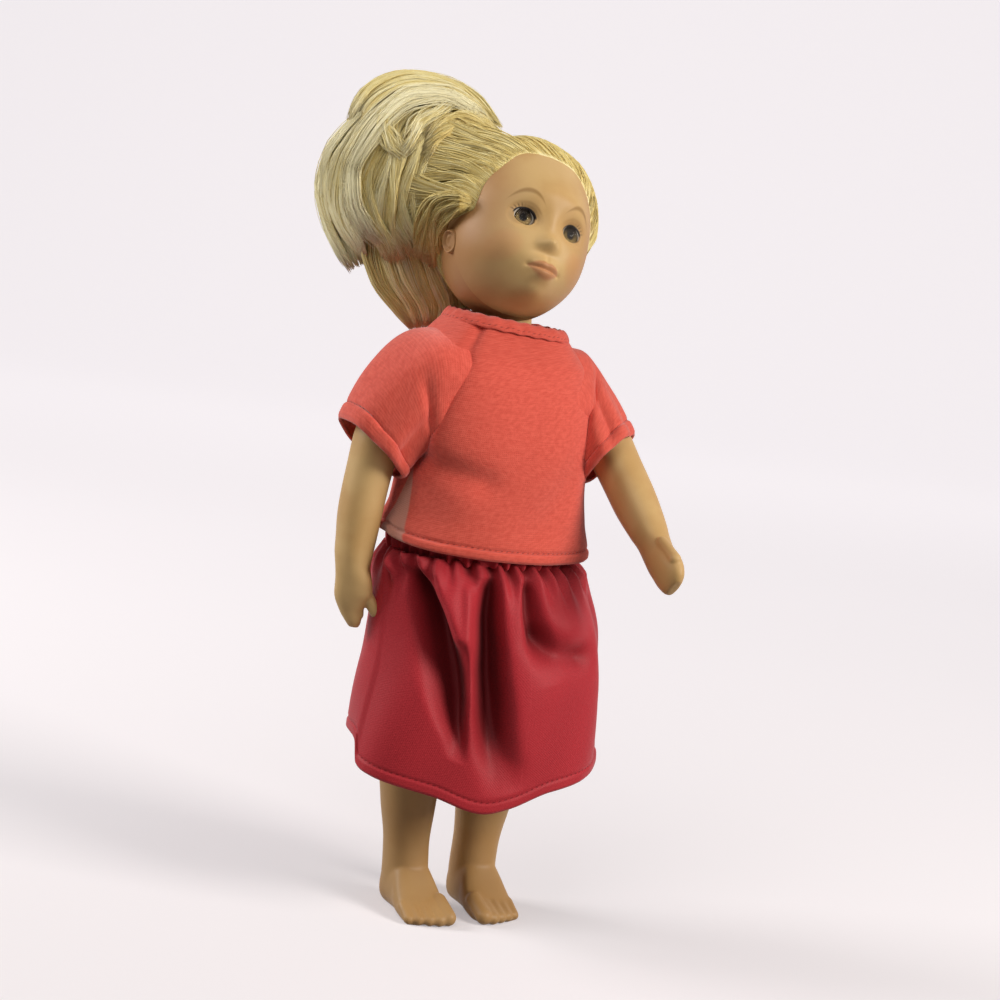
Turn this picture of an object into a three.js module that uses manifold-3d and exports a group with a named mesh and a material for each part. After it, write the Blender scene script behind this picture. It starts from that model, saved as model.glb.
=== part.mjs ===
// A jointed vinyl doll, about 160 mm to the top of its ponytail, in a knit shirt and a gathered satin skirt.
// Millimetres: it stands on z = 0 and faces -Y, and +X is its own left. Left pieces are built, right ones mirrored.
import * as THREE from 'three';
import { mergeVertices } from 'three/addons/utils/BufferGeometryUtils.js';
import Module from 'manifold-3d';

const wasm = await Module();
wasm.setup();

// Clearances
const SEAT_GAP = 0.3; // between two pieces that touch
const PART_LINE = 0.1; // between the torso halves, and between the layers of an eye
const HIP_GAP = 0.5; // round the hip discs

// Places of the joints
const JOINT_Y = 3; // the hips, shoulders and neck turn on axes in this plane, where the torso halves meet
const HIP_Z = 62;
const TORSO_RISE = 41.5; // hip axle to shoulder pegs
const NECK_RISE = 9.5; // shoulder pegs to the foot of the neck
const HEAD_RISE = 28; // shoulder pegs to the middle of the head
const SHOULDER_Z = HIP_Z + TORSO_RISE;
const NECK_Z = SHOULDER_Z + NECK_RISE;
const HEAD_Z = SHOULDER_Z + HEAD_RISE;

// Torso halves
const SHOULDER_HALF = 14.3; // middle of the body to the flat pad under each arm
const TORSO_WALL = 1.6;
const NECK_WALL = 3.2; // depth of the hole that the neck post turns in
const WEB_HALF = 2.3; // half the thickness of the web between the legs
const WEB_RADIUS = 8.6;
const PELVIS_RISE = 8.4; // hip axle to the flat underside beside the web
const PIN_RADIUS = 1.1;
const PIN_LENGTH = 3;
const BOSS_RADIUS = 2.2;
const PIN_SPREAD = 6.5; // middle of the body to the two lower locating pins
const LOWER_PIN_RISE = 22; // hip axle to the lower locating pins
const UPPER_PIN_RISE = 33;

// Hip axle, shoulder pegs and neck post
const AXLE_RADIUS = 2;
const AXLE_HALF = 11;
const BORE_GAP = 0.2; // between a pin and its bore
const PEG_RADIUS = 2.3;
const PEG_HEAD_RADIUS = 3.4;
const PEG_HEAD_LENGTH = 1.4;
const PEG_REACH = 4.5; // how far a peg goes into its arm
const NECK_RADIUS = 5.5;
const NECK_STEM_RADIUS = 3.6;
const NECK_FLANGE_RADIUS = 4.8;
const NECK_FLANGE_LENGTH = 1.4;
const NECK_KNOB_RADIUS = 6.3;
const NECK_HOLE_GAP = 0.35;
const NECK_LENGTH = 9.6; // foot of the neck to the knob inside the head
const KNOB_Z = NECK_Z + NECK_LENGTH;

// Arms
const LEFT_ARM_SWING = 45; // degrees forward at rest; the right arm hangs
const ARM_SPREAD = { left: 0.3, right: 1.1 }; // how far each arm hangs outside its moulded line
const SPREAD_DROP = 13; // the spread is full this far below the peg
const FINGER_RADIUS = 1.05;
const FINGER_PITCH = 1.9;
const THUMB_RADIUS = 1.25;

// Legs
const LEG_DISC = 9.1; // radius of the rounded top about the hip axle
const THIGH_HALF = 6.3;
const TOE_RADIUS = 1.5; // the big toe's
const TOE_TIP_Y = -13.6;
const SOLE_TRIM = 0.8; // depth of foot cut away to make the sole flat

// Head
const HEAD_YAW = 1.3; // degrees
const HEAD_PITCH = -22.2;
const HEAD_ROLL = 11.7;
const HEAD_X = -0.7; // place of the head's centre
const HEAD_Y = 0.9;
const HEAD_HALF_WIDTH = 13.2;
const FACE_DEPTH = 14.4;
const NAPE_DEPTH = 15;
const CROWN_RISE = 18.9;
const JAW_DROP = 14.9;
const HEAD_WALL = 2;
const EYE_DROP = 1.1; // head centre down to the eye line
const EYE_SPREAD = 5.2; // half the distance between the eyes
const EYE_DEPTH = 9.8; // head centre to eye centre
const EYE_RADIUS = 3.3;
const EYE_OPENING = [2.5, 1.85]; // half width and half height
const EAR_HALF = [1.2, 2.1, 3.3]; // thick, deep and high
const EAR_HOLLOW = [0.9, 1.3, 2];
const EAR_LEAN = 0.2; // radians
const EAR_Y = 1.4;
const EAR_LOW = 5.4; // head centre down to the ear's middle
const IRIS_RADIUS = 1.7;
const IRIS_THICKNESS = 0.25;
const CORNEA_RISE = 0.5;

// Hair
const HAIR_GAP = 0.45; // scalp to the hair over it
const HAIR_THICKNESS = 1.3;
const CAP_POLE = new THREE.Vector3(0, 0.85, 0.52); // in the head's own axes
const TAIL_CENTRE = new THREE.Vector3(-14.5, 18.6, 9.9); // ponytail's middle from the head's centre
const TAIL_HALF = [18, 12.5, 19.5]; // across, deep and high
const TAIL_TURN = -28; // degrees about Z, of the ponytail's broad side
const TAIL_LOBES = 5;
const TAIL_RIPPLE = 0.07;
const TIE_RADIUS = 5.6;
const TIE_TUBE = 1.1;
const TIE_CENTRE = new THREE.Vector3(-8.6, 13.4, 11.4); // from the head's centre
const LOCK_TIP_Z = NECK_Z + 1.6; // lowest point of the lock behind the neck

// Shirt
const CLOTH = 0.8;
const SHIRT_LENGTH = 31.2; // shoulder pegs to the hem
const HEM_Z = SHOULDER_Z - SHIRT_LENGTH;
const NECKLINE_RISE = 1.6; // foot of the neck to the neckline at the sides
const NECKLINE_Z = NECK_Z + NECKLINE_RISE;
const NECKLINE_DIP = 2.2; // how much lower the neckline is in front
const NECKLINE_HALF = [11.1, 8.6];
const NECKBAND_RADIUS = 0.9;
const ARMHOLE_REACH = 1.6; // pads under the arms to the armhole seams
const ARMHOLE_HALF = SHOULDER_HALF + ARMHOLE_REACH;
const ARMHOLE_RADIUS = 8.8;
const ARMHOLE_DROP = 1; // shoulder pegs to the armhole's centre
const BACK_SLIT = 0.5;
const TAPE_HALF = 3.5;
const TAPE_LENGTH = 27;
const TAPE_THICKNESS = 0.7;

// Skirt
const CASING_BOTTOM = 8.3; // hip axle to the lower edge of the gathered casing
const CASING_HEIGHT = 6.6;
const CASING_Z = HIP_Z + CASING_BOTTOM;
const ELASTIC_THICKNESS = 0.7;
const SKIRT_LENGTH = 46; // casing to the lowest point of the hem
const HEM_LIFT = 8; // how much higher the hem is at the sides and the back
const HEM_LOW_ANGLE = -125; // degrees
const SKIRT_Y = 1.4; // y of the waist's middle
const SKIRT_SWAY = [3, -4.2]; // how far the hem's middle lies from the waist's, in x and y
const FRONT_SPLIT = -101; // degrees: the valleys where the two sides of the skirt meet
const BACK_SPLIT = 100;
const FOLDS = [[-138, 3], [-101, 3], [-28, 1.6], [22, 2], [62, 1.9], [100, 2.4], [140, 0.8], [178, 1.7]];
const FOLD_WIDTH = 11; // degrees
const SPLIT_GAP = 0.8; // degrees between the two sides at each split

const TAU = Math.PI * 2;
const { clamp, degToRad, lerp, smoothstep } = THREE.MathUtils;
const vec = (x, y, z) => new THREE.Vector3(x, y, z);

// Values at t on a smooth curve through rows of [t, value, value, ...] that never overshoots a row.
function through(rows, t) {
  const last = rows.length - 1;
  const at = clamp(t, rows[0][0], rows[last][0]);
  let k = 0;
  while (k < last - 1 && at > rows[k + 1][0]) k++;
  const secant = (i, c) => (rows[i + 1][c] - rows[i][c]) / (rows[i + 1][0] - rows[i][0]);
  const slope = (i, c) => {
    if (i === 0) return secant(0, c);
    if (i === last) return secant(last - 1, c);
    const [a, b] = [secant(i - 1, c), secant(i, c)];
    return a * b <= 0 ? 0 : (2 * a * b) / (a + b);
  };
  const span = rows[k + 1][0] - rows[k][0];
  const u = (at - rows[k][0]) / span;
  return rows[k].slice(1).map((start, i) => {
    const c = i + 1;
    const end = rows[k + 1][c];
    const bend = (1 - u) * slope(k, c) * span - u * slope(k + 1, c) * span;
    const ease = u * u * (3 - 2 * u);
    return start + (end - start) * ease + u * (1 - u) * bend;
  });
}

// A level ring: a rounded oval about (x, y) at height z, counter-clockwise from above.
function oval(z, halfWidth, halfDepth, { x = 0, y = 0, power = 2, count = 32 } = {}) {
  return Array.from({ length: count }, (_, i) => {
    const [c, s] = [Math.cos((TAU * i) / count), Math.sin((TAU * i) / count)];
    const size = (Math.abs(c) ** power + Math.abs(s) ** power) ** (-1 / power);
    return vec(x + halfWidth * c * size, y + halfDepth * s * size, z);
  });
}

// A skin over a row of rings with equal point counts, each counter-clockwise seen from beyond the last one.
// Fans close the two ends, or the last ring joins the first.
function skin(rings, loop = false) {
  const count = rings[0].length;
  const points = rings.flat();
  const faces = [];
  const rows = loop ? rings.length : rings.length - 1;
  for (let row = 0; row < rows; row++) {
    const next = (row + 1) % rings.length;
    for (let i = 0; i < count; i++) {
      const j = (i + 1) % count;
      faces.push(row * count + i, row * count + j, next * count + j);
      faces.push(row * count + i, next * count + j, next * count + i);
    }
  }
  if (!loop) {
    for (const row of [0, rings.length - 1]) {
      const centre = rings[row].reduce((sum, p) => sum.add(p), vec(0, 0, 0)).divideScalar(count);
      const tip = points.push(centre) - 1;
      for (let i = 0; i < count; i++) {
        const [a, b] = [row * count + i, row * count + ((i + 1) % count)];
        faces.push(tip, row ? a : b, row ? b : a);
      }
    }
  }
  const geometry = new THREE.BufferGeometry().setFromPoints(points);
  geometry.setIndex(faces);
  return geometry;
}

// A closed cloth between two grids of points, rows rising and columns running counter-clockwise seen from outside.
function sheet(outer, inner) {
  const rows = outer.length;
  const columns = outer[0].length;
  const points = [...outer.flat(), ...inner.flat()];
  const at = (row, column, side) => side * rows * columns + row * columns + column;
  const faces = [];
  const quad = (a, b, c, d) => faces.push(a, b, c, a, c, d);
  for (let r = 0; r < rows - 1; r++) {
    for (let c = 0; c < columns - 1; c++) {
      quad(at(r, c, 0), at(r, c + 1, 0), at(r + 1, c + 1, 0), at(r + 1, c, 0));
      quad(at(r + 1, c, 1), at(r + 1, c + 1, 1), at(r, c + 1, 1), at(r, c, 1));
    }
    quad(at(r, 0, 1), at(r, 0, 0), at(r + 1, 0, 0), at(r + 1, 0, 1));
    quad(at(r, columns - 1, 0), at(r, columns - 1, 1), at(r + 1, columns - 1, 1), at(r + 1, columns - 1, 0));
  }
  for (let c = 0; c < columns - 1; c++) {
    quad(at(0, c, 1), at(0, c + 1, 1), at(0, c + 1, 0), at(0, c, 0));
    quad(at(rows - 1, c, 0), at(rows - 1, c + 1, 0), at(rows - 1, c + 1, 1), at(rows - 1, c, 1));
  }
  const geometry = new THREE.BufferGeometry().setFromPoints(points);
  geometry.setIndex(faces);
  return geometry;
}

// A ball whose radius depends on the direction, with its poles on Z and its columns crowded towards -Y by crowd.
function ball(radiusAt, { columns, rows, crowd = 0 }) {
  const rings = [];
  for (let row = 1; row < rows; row++) {
    const lift = Math.PI * (row / rows - 0.5);
    rings.push(Array.from({ length: columns }, (_, i) => {
      const u = (TAU * i) / columns;
      const turn = u - crowd * Math.sin(u) - Math.PI / 2;
      const way = vec(Math.cos(lift) * Math.cos(turn), Math.cos(lift) * Math.sin(turn), Math.sin(lift));
      return way.multiplyScalar(radiusAt(way));
    }));
  }
  return skin(rings);
}

// A tapered round finger from a to b.
function capsule(a, b, radius) {
  const length = a.distanceTo(b);
  const turn = new THREE.Quaternion().setFromUnitVectors(vec(0, 1, 0), b.clone().sub(a).normalize());
  const geometry = new THREE.CapsuleGeometry(radius, length, 2, 6, 1).applyQuaternion(turn);
  return geometry.translate(...a.clone().add(b).multiplyScalar(0.5));
}

// A turned piece about Z from a profile of [radius, z], rising.
function turned(profile, count = 16) {
  const points = profile.map(([radius, z]) => new THREE.Vector2(radius, z));
  return new THREE.LatheGeometry(points, count).rotateX(Math.PI / 2);
}

// A rod along X from x0 to x1.
function rod(radius, x0, x1, y, z, count = 14) {
  const geometry = new THREE.CylinderGeometry(radius, radius, x1 - x0, count).rotateZ(Math.PI / 2);
  return geometry.translate((x0 + x1) / 2, y, z);
}

function box(x0, x1, y0, y1, z0, z1) {
  return new THREE.BoxGeometry(x1 - x0, y1 - y0, z1 - z0).translate((x0 + x1) / 2, (y0 + y1) / 2, (z0 + z1) / 2);
}

function solid(geometry) {
  const bare = geometry.clone().deleteAttribute('normal').deleteAttribute('uv');
  const merged = mergeVertices(bare, 1e-4);
  return new wasm.Manifold(new wasm.Mesh({
    numProp: 3,
    vertProperties: merged.attributes.position.array,
    triVerts: new Uint32Array(merged.index.array),
  }));
}

function cut(from, ...tools) {
  return tools.reduce((left, tool) => left.subtract(solid(tool)), from);
}

function fuse(...pieces) {
  return pieces.map(solid).reduce((sum, piece) => sum.add(piece));
}

function geometryOf(body) {
  const { vertProperties, triVerts } = body.getMesh();
  const geometry = new THREE.BufferGeometry();
  geometry.setAttribute('position', new THREE.BufferAttribute(new Float32Array(vertProperties), 3));
  geometry.setIndex(new THREE.BufferAttribute(new Uint32Array(triVerts), 1));
  return geometry;
}

const doll = new THREE.Group();
const finish = (color, roughness) => new THREE.MeshStandardMaterial({ color, roughness, metalness: 0 });
const vinyl = finish(0xc79a6a, 0.5);
const plastic = finish(0xb98f63, 0.45);
const coral = finish(0xe65a48, 0.95);
const satin = finish(0x9c2337, 0.4);
const hairFibre = finish(0xdccf9a, 0.4);

function place(name, shape, material, parent = doll) {
  const geometry = shape.isBufferGeometry ? shape : geometryOf(shape);
  geometry.computeVertexNormals();
  const mesh = new THREE.Mesh(geometry, material);
  mesh.name = name;
  parent.add(mesh);
}

// Torso: two halves that close on the joints' plane round the neck post, the shoulder pegs and the hip axle.
// Rows of [height, half width, half depth, y of the middle].
const TORSO_ROWS = [
  [HIP_Z - WEB_RADIUS, 13.5, WEB_RADIUS, JOINT_Y],
  [HIP_Z, 14.2, 10, 2],
  [HIP_Z + 7, 14.9, 10.8, 1],
  [HIP_Z + 13, 13.9, 10.4, 0.8],
  [HIP_Z + 21, 13.6, 10.4, 1],
  [SHOULDER_Z - 11, 14.2, 9.4, 1.4],
  [SHOULDER_Z - 4, 16.8, 8.8, JOINT_Y - 0.6],
  [SHOULDER_Z + 2, 16.8, 8.2, JOINT_Y],
  [NECK_Z - 4, 13.4, 7.4, JOINT_Y],
  [NECK_Z - 1.2, 8.2, 6, JOINT_Y],
  [NECK_Z, 5.6, 5.4, JOINT_Y],
];

function torsoBlank(bottom, top, inset, count) {
  const steps = 10;
  return skin(Array.from({ length: steps + 1 }, (_, i) => {
    const z = lerp(bottom, top, i / steps);
    const [halfWidth, halfDepth, y] = through(TORSO_ROWS, z);
    return oval(z, halfWidth - inset, halfDepth - inset, { y, power: 2.3, count });
  }));
}

function torsoHalves() {
  const far = 60;
  const discGap = LEG_DISC + HIP_GAP;
  const floorZ = HIP_Z + discGap + TORSO_WALL;
  const outer = solid(torsoBlank(HIP_Z - WEB_RADIUS, NECK_Z, 0, 20));
  const padWall = TORSO_WALL + SEAT_GAP;
  const cavity = solid(torsoBlank(floorZ, NECK_Z - NECK_WALL, TORSO_WALL, 14))
    .intersect(solid(box(padWall - SHOULDER_HALF, SHOULDER_HALF - padWall, -far, far, 0, NECK_Z)));
  let shell = outer.subtract(cavity);
  for (const side of [-1, 1]) {
    const [inner, outerX] = side < 0 ? [-far, -WEB_HALF] : [WEB_HALF, far];
    shell = cut(shell,
      rod(discGap, inner, outerX, JOINT_Y, HIP_Z, 24),
      box(inner, outerX, -far, far, 0, HIP_Z + PELVIS_RISE),
      box(...(side < 0 ? [-far, -SHOULDER_HALF] : [SHOULDER_HALF, far]), -far, far, 0, HEAD_Z));
  }
  shell = cut(shell,
    rod(AXLE_RADIUS + BORE_GAP, -far, far, JOINT_Y, HIP_Z),
    rod(PEG_RADIUS + BORE_GAP, -far, far, JOINT_Y, SHOULDER_Z),
    turned([[0, NECK_Z - NECK_WALL - 1], [NECK_STEM_RADIUS + BORE_GAP, NECK_Z - NECK_WALL - 1],
      [NECK_STEM_RADIUS + BORE_GAP, NECK_Z + 1], [0, NECK_Z + 1]]).translate(0, JOINT_Y, 0));
  const pins = [[-PIN_SPREAD, LOWER_PIN_RISE], [PIN_SPREAD, LOWER_PIN_RISE], [0, UPPER_PIN_RISE]];
  const upright = (radius, y0, y1, [x, rise]) =>
    new THREE.CylinderGeometry(radius, radius, y1 - y0, 10).translate(x, JOINT_Y + (y0 + y1) / 2, HIP_Z + rise);
  const bosses = pins.map((pin) => upright(BOSS_RADIUS, -far, far, pin)).map(solid)
    .reduce((sum, boss) => sum.add(boss)).intersect(outer);
  const closed = shell.add(bosses);
  const front = pins.reduce((half, pin) => half.add(solid(upright(PIN_RADIUS, -BOSS_RADIUS, PIN_LENGTH, pin))),
    closed.intersect(solid(box(-far, far, -far, JOINT_Y - PART_LINE / 2, 0, HEAD_Z))));
  const sockets = pins.map((pin) => upright(PIN_RADIUS + BORE_GAP, -1, PIN_LENGTH + 1, pin));
  const back = cut(closed.intersect(solid(box(-far, far, JOINT_Y + PART_LINE / 2, far, 0, HEAD_Z))), ...sockets);
  return { front, back };
}

const torso = torsoHalves();
place('torso_front_shell', torso.front, vinyl);
place('torso_back_shell', torso.back, vinyl);

const neckHole = NECK_Z - NECK_WALL;
place('neck_post', turned([
  [0, neckHole - SEAT_GAP - NECK_FLANGE_LENGTH],
  [NECK_FLANGE_RADIUS, neckHole - SEAT_GAP - NECK_FLANGE_LENGTH],
  [NECK_FLANGE_RADIUS, neckHole - SEAT_GAP],
  [NECK_STEM_RADIUS, neckHole - SEAT_GAP],
  [NECK_STEM_RADIUS, NECK_Z + SEAT_GAP],
  [NECK_RADIUS, NECK_Z + SEAT_GAP],
  [NECK_RADIUS - 0.3, KNOB_Z],
  [NECK_KNOB_RADIUS, KNOB_Z + 1.2],
  [NECK_KNOB_RADIUS, KNOB_Z + 2.4],
  [NECK_KNOB_RADIUS - 2, KNOB_Z + 4],
  [0, KNOB_Z + 4],
]).translate(0, JOINT_Y, 0), vinyl);
place('hip_axle', rod(AXLE_RADIUS, -AXLE_HALF, AXLE_HALF, JOINT_Y, HIP_Z), plastic);

// Limbs are modelled for the left side about their own joint, and a mirrored group carries the right ones.
const sides = [['left', 1, LEFT_ARM_SWING], ['right', -1, 0]].map(([name, sign, swing]) => {
  const hip = new THREE.Group();
  hip.scale.x = sign;
  const shoulder = new THREE.Group();
  shoulder.position.set(0, JOINT_Y, SHOULDER_Z);
  shoulder.scale.x = sign;
  shoulder.rotation.x = -degToRad(swing);
  doll.add(hip, shoulder);
  return { name, hip, shoulder, spread: ARM_SPREAD[name] };
});

// Arm: rows of [height over the peg, x beyond the pad, y, half width, half depth].
const ARM_ROWS = [
  [-45, 10, -3.4, 2.1, 4],
  [-41.5, 10.4, -2.5, 2.6, 4],
  [-38, 10.6, -1.7, 2.9, 3.2],
  [-33.5, 10.5, -0.9, 3.5, 3.8],
  [-26, 10, -0.2, 4.1, 4.5],
  [-18, 9, 0, 4.3, 4.6],
  [-11, 7.6, 0, 4.8, 5.1],
  [-5, 5.8, 0, 5.2, 5.5],
  [0, 4.5, 0, 5, 5.6],
  [3, 3.9, 0, 4.2, 4.8],
  [4.8, 3.6, 0, 2.7, 3.2],
  [5.6, 3.5, 0, 1, 1.2],
];
const FINGER_TIPS = [-49, -49.9, -49.6, -48.4]; // heights, from the forefinger back

function arm(spread) {
  const steps = 17;
  const [low, high] = [ARM_ROWS[0][0], ARM_ROWS.at(-1)[0]];
  const limb = skin(Array.from({ length: steps + 1 }, (_, i) => {
    const z = lerp(low, high, i / steps);
    const [x, y, halfWidth, halfDepth] = through(ARM_ROWS, z);
    const aside = spread * smoothstep(-z, 0, SPREAD_DROP);
    return oval(z, halfWidth, halfDepth, { x: SHOULDER_HALF + x + aside, y, power: 2.2, count: 14 });
  }));
  const [x, y] = through(ARM_ROWS, low);
  const knuckle = vec(SHOULDER_HALF + x + spread, y, low);
  const fingers = FINGER_TIPS.map((tip, i) => {
    const across = (i - 1.5) * FINGER_PITCH;
    const root = knuckle.clone().add(vec(0, across, 2));
    return capsule(root, vec(knuckle.x - 0.5, y + across - 1.2, tip + FINGER_RADIUS), FINGER_RADIUS);
  });
  const thumb = capsule(knuckle.clone().add(vec(0, -2.4, 4.6)), knuckle.clone().add(vec(-0.8, -5, -0.8)), THUMB_RADIUS);
  const pad = SHOULDER_HALF + SEAT_GAP;
  return cut(fuse(limb, thumb, ...fingers),
    box(0, pad, -20, 20, -60, 20),
    rod(PEG_RADIUS + BORE_GAP, 0, SHOULDER_HALF + PEG_REACH + BORE_GAP, 0, 0, 12));
}

// Shoulder peg: a stem held in the arm, with a head that turns inside the torso wall.
function shoulderPeg() {
  const wall = SHOULDER_HALF - TORSO_WALL - 2 * SEAT_GAP;
  return new THREE.LatheGeometry([
    [0, wall - PEG_HEAD_LENGTH],
    [PEG_HEAD_RADIUS - 0.8, wall - PEG_HEAD_LENGTH],
    [PEG_HEAD_RADIUS, wall - PEG_HEAD_LENGTH / 2],
    [PEG_HEAD_RADIUS, wall],
    [PEG_RADIUS, wall],
    [PEG_RADIUS, SHOULDER_HALF + PEG_REACH],
    [0, SHOULDER_HALF + PEG_REACH],
  ].map(([radius, x]) => new THREE.Vector2(radius, x)), 12).rotateZ(-Math.PI / 2);
}

// Leg: rows of [share of the hip's height, x, y, half width, half depth], under a rounded top about the axle.
const LEG_X = WEB_HALF + SEAT_GAP + THIGH_HALF;
const LEG_ROWS = [
  [0.03, LEG_X - 1.5, 1.3, 3.9, 4.4],
  [0.1, LEG_X - 1.5, 1.2, 4.3, 5],
  [0.2, LEG_X - 1.2, 1.5, 4.4, 4.7],
  [0.33, LEG_X - 0.6, 1.6, 5.3, 5.5],
  [0.45, LEG_X - 0.2, 1.6, 5.9, 6.1],
  [0.56, LEG_X - 0.2, 1.2, 5.6, 5.9],
  [0.68, LEG_X - 0.3, 1.8, 5.8, 6.7],
  [0.84, LEG_X - 0.1, 2.6, THIGH_HALF - 0.1, 7.8],
  [1, LEG_X, JOINT_Y, THIGH_HALF, LEG_DISC],
];
// Foot: rows of [y, half width, height]; toes: [share of the big toe's radius, how far the tip stays back].
const FOOT_ROWS = [
  [-10.8, 4.4, 3.2],
  [-9, 4.8, 4.5],
  [-6, 4.6, 6.4],
  [-3, 4.4, 8.6],
  [0, 4.3, 10],
  [3, 4.1, 9],
  [5.4, 3, 6.5],
];
const TOES = [[1, 0], [0.78, 0.2], [0.74, 0.8], [0.68, 1.6], [0.62, 2.5]];

function leg() {
  const count = 16;
  const rings = [];
  for (let i = 0; i <= 10; i++) {
    const share = lerp(LEG_ROWS[0][0], 1, i / 10);
    const [x, y, halfWidth, halfDepth] = through(LEG_ROWS, share);
    rings.push(oval(share * HIP_Z, halfWidth, halfDepth, { x, y, power: 2.2, count }));
  }
  for (let i = 1; i <= 4; i++) {
    const lift = (i / 4.2) * (Math.PI / 2);
    const rise = Math.sin(lift);
    const halfWidth = THIGH_HALF * Math.sqrt(1 - rise ** 5);
    rings.push(oval(HIP_Z + LEG_DISC * rise, halfWidth, LEG_DISC * Math.cos(lift), { x: LEG_X, y: JOINT_Y, power: 2.2, count }));
  }
  const footX = LEG_ROWS[0][1];
  const foot = skin(Array.from({ length: 7 }, (_, i) => {
    const y = lerp(FOOT_ROWS.at(-1)[0], FOOT_ROWS[0][0], i / 6);
    const [halfWidth, height] = through(FOOT_ROWS, y);
    const half = (height + SOLE_TRIM) / 2;
    return oval(0, halfWidth, half, { power: 2.6, count: 12 }).map((p) => vec(footX + p.x, y, half - SOLE_TRIM + p.y));
  }));
  const toes = TOES.map(([share, back], i) => {
    const radius = TOE_RADIUS * share;
    const x = footX - 3.2 + i * 1.68;
    const tip = vec(x, TOE_TIP_Y + back + radius, radius - 0.15);
    return capsule(vec(x, FOOT_ROWS[1][0], radius + 0.7), tip, radius);
  });
  return cut(fuse(skin(rings), foot, ...toes),
    box(-10, 30, -30, 30, -10, 0),
    rod(AXLE_RADIUS + BORE_GAP, 0, AXLE_HALF + BORE_GAP, JOINT_Y, HIP_Z));
}

const legShape = leg();
for (const { name, hip, shoulder, spread } of sides) {
  place(`${name}_arm`, arm(spread), vinyl, shoulder);
  place(`${name}_shoulder_peg`, shoulderPeg(), plastic, shoulder);
  place(`${name}_leg`, legShape, vinyl, hip);
}

// Head: a hollow ball of varying radius. The face's features are soft bumps and hollows laid out in x and z.
const bump = (x, z, cx, cz, wide, high) => Math.exp(-(((x - cx) / wide) ** 2) - ((z - cz) / high) ** 2);

function skullRadius(way) {
  const front = smoothstep(-way.y, 0, 0.8);
  const low = smoothstep(-way.z, 0, 0.8);
  const power = 2.2 - 0.2 * front * low;
  const depth = way.y < 0 ? FACE_DEPTH : NAPE_DEPTH;
  const height = way.z > 0 ? CROWN_RISE : JAW_DROP;
  const sum = Math.abs(way.x / HEAD_HALF_WIDTH) ** power + Math.abs(way.y / depth) ** power
    + Math.abs(way.z / height) ** power;
  return sum ** (-1 / power);
}

function faceRelief(x, z) {
  const eye = Math.abs(x) - EYE_SPREAD;
  const bridge = bump(x, z, 0, -1.4, 1.5, 3.4) * 1.3;
  const tip = bump(x, z, 0, -4.8, 1.7, 1.5) * 2.1;
  const nostril = bump(Math.abs(x), z, 1.7, -5.4, 0.9, 0.9) * 0.5;
  const sockets = -bump(eye, z, 0, 0, 3, 2.3) * 0.9;
  const cheeks = bump(Math.abs(x), z, 7, -6.2, 4, 4) * 0.9;
  const lips = bump(x, z, 0, -9.4, 2.7, 1.7) * 1.5;
  const chin = bump(x, z, 0, -13.8, 3.4, 2.4) * 2;
  return bridge + tip + nostril + sockets + cheeks + lips + chin;
}

function headRadius(way) {
  const radius = skullRadius(way);
  return radius + smoothstep(-way.y, 0, 0.5) * faceRelief(way.x * radius, way.z * radius + EYE_DROP);
}

const headPose = new THREE.Matrix4()
  .makeRotationFromEuler(new THREE.Euler(degToRad(HEAD_PITCH), degToRad(HEAD_ROLL), degToRad(HEAD_YAW), 'ZXY'))
  .setPosition(HEAD_X, HEAD_Y, HEAD_Z);
const posed = (geometry) => geometry.applyMatrix4(headPose);
const eyeAt = (sign) => vec(sign * EYE_SPREAD, -EYE_DEPTH, -EYE_DROP);

function ear(sign) {
  const shell = new THREE.SphereGeometry(1, 12, 8).scale(...EAR_HALF).rotateX(EAR_LEAN);
  return shell.translate(sign * (HEAD_HALF_WIDTH - 0.6), EAR_Y, -EAR_LOW);
}

function earHollow(sign) {
  const hollow = new THREE.SphereGeometry(1, 8, 6).scale(...EAR_HOLLOW).rotateX(EAR_LEAN);
  return hollow.translate(sign * (HEAD_HALF_WIDTH + 0.9), EAR_Y - 0.4, 0.2 - EAR_LOW);
}

function headShell() {
  const skull = ball(headRadius, { columns: 36, rows: 24, crowd: 0.45 });
  const hollow = ball((way) => skullRadius(way) - HEAD_WALL, { columns: 14, rows: 9 });
  const eyes = [-1, 1].flatMap((sign) => {
    const opening = new THREE.CylinderGeometry(1, 1, 12, 16).scale(EYE_OPENING[0], 1, EYE_OPENING[1]);
    const seat = new THREE.SphereGeometry(EYE_RADIUS + SEAT_GAP, 12, 8);
    const at = eyeAt(sign);
    return [opening.translate(at.x, at.y - 4, at.z), seat.translate(at.x, at.y, at.z)];
  });
  const neckGap = NECK_RADIUS + NECK_HOLE_GAP;
  const neck = new THREE.CylinderGeometry(neckGap, neckGap, 14, 20).rotateX(Math.PI / 2);
  neck.translate(0, JOINT_Y, HEAD_Z - JAW_DROP);
  return cut(fuse(posed(skull), ...[-1, 1].map((sign) => posed(ear(sign)))),
    posed(hollow), ...eyes.map(posed), ...[-1, 1].map((sign) => posed(earHollow(sign))), neck);
}

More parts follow.
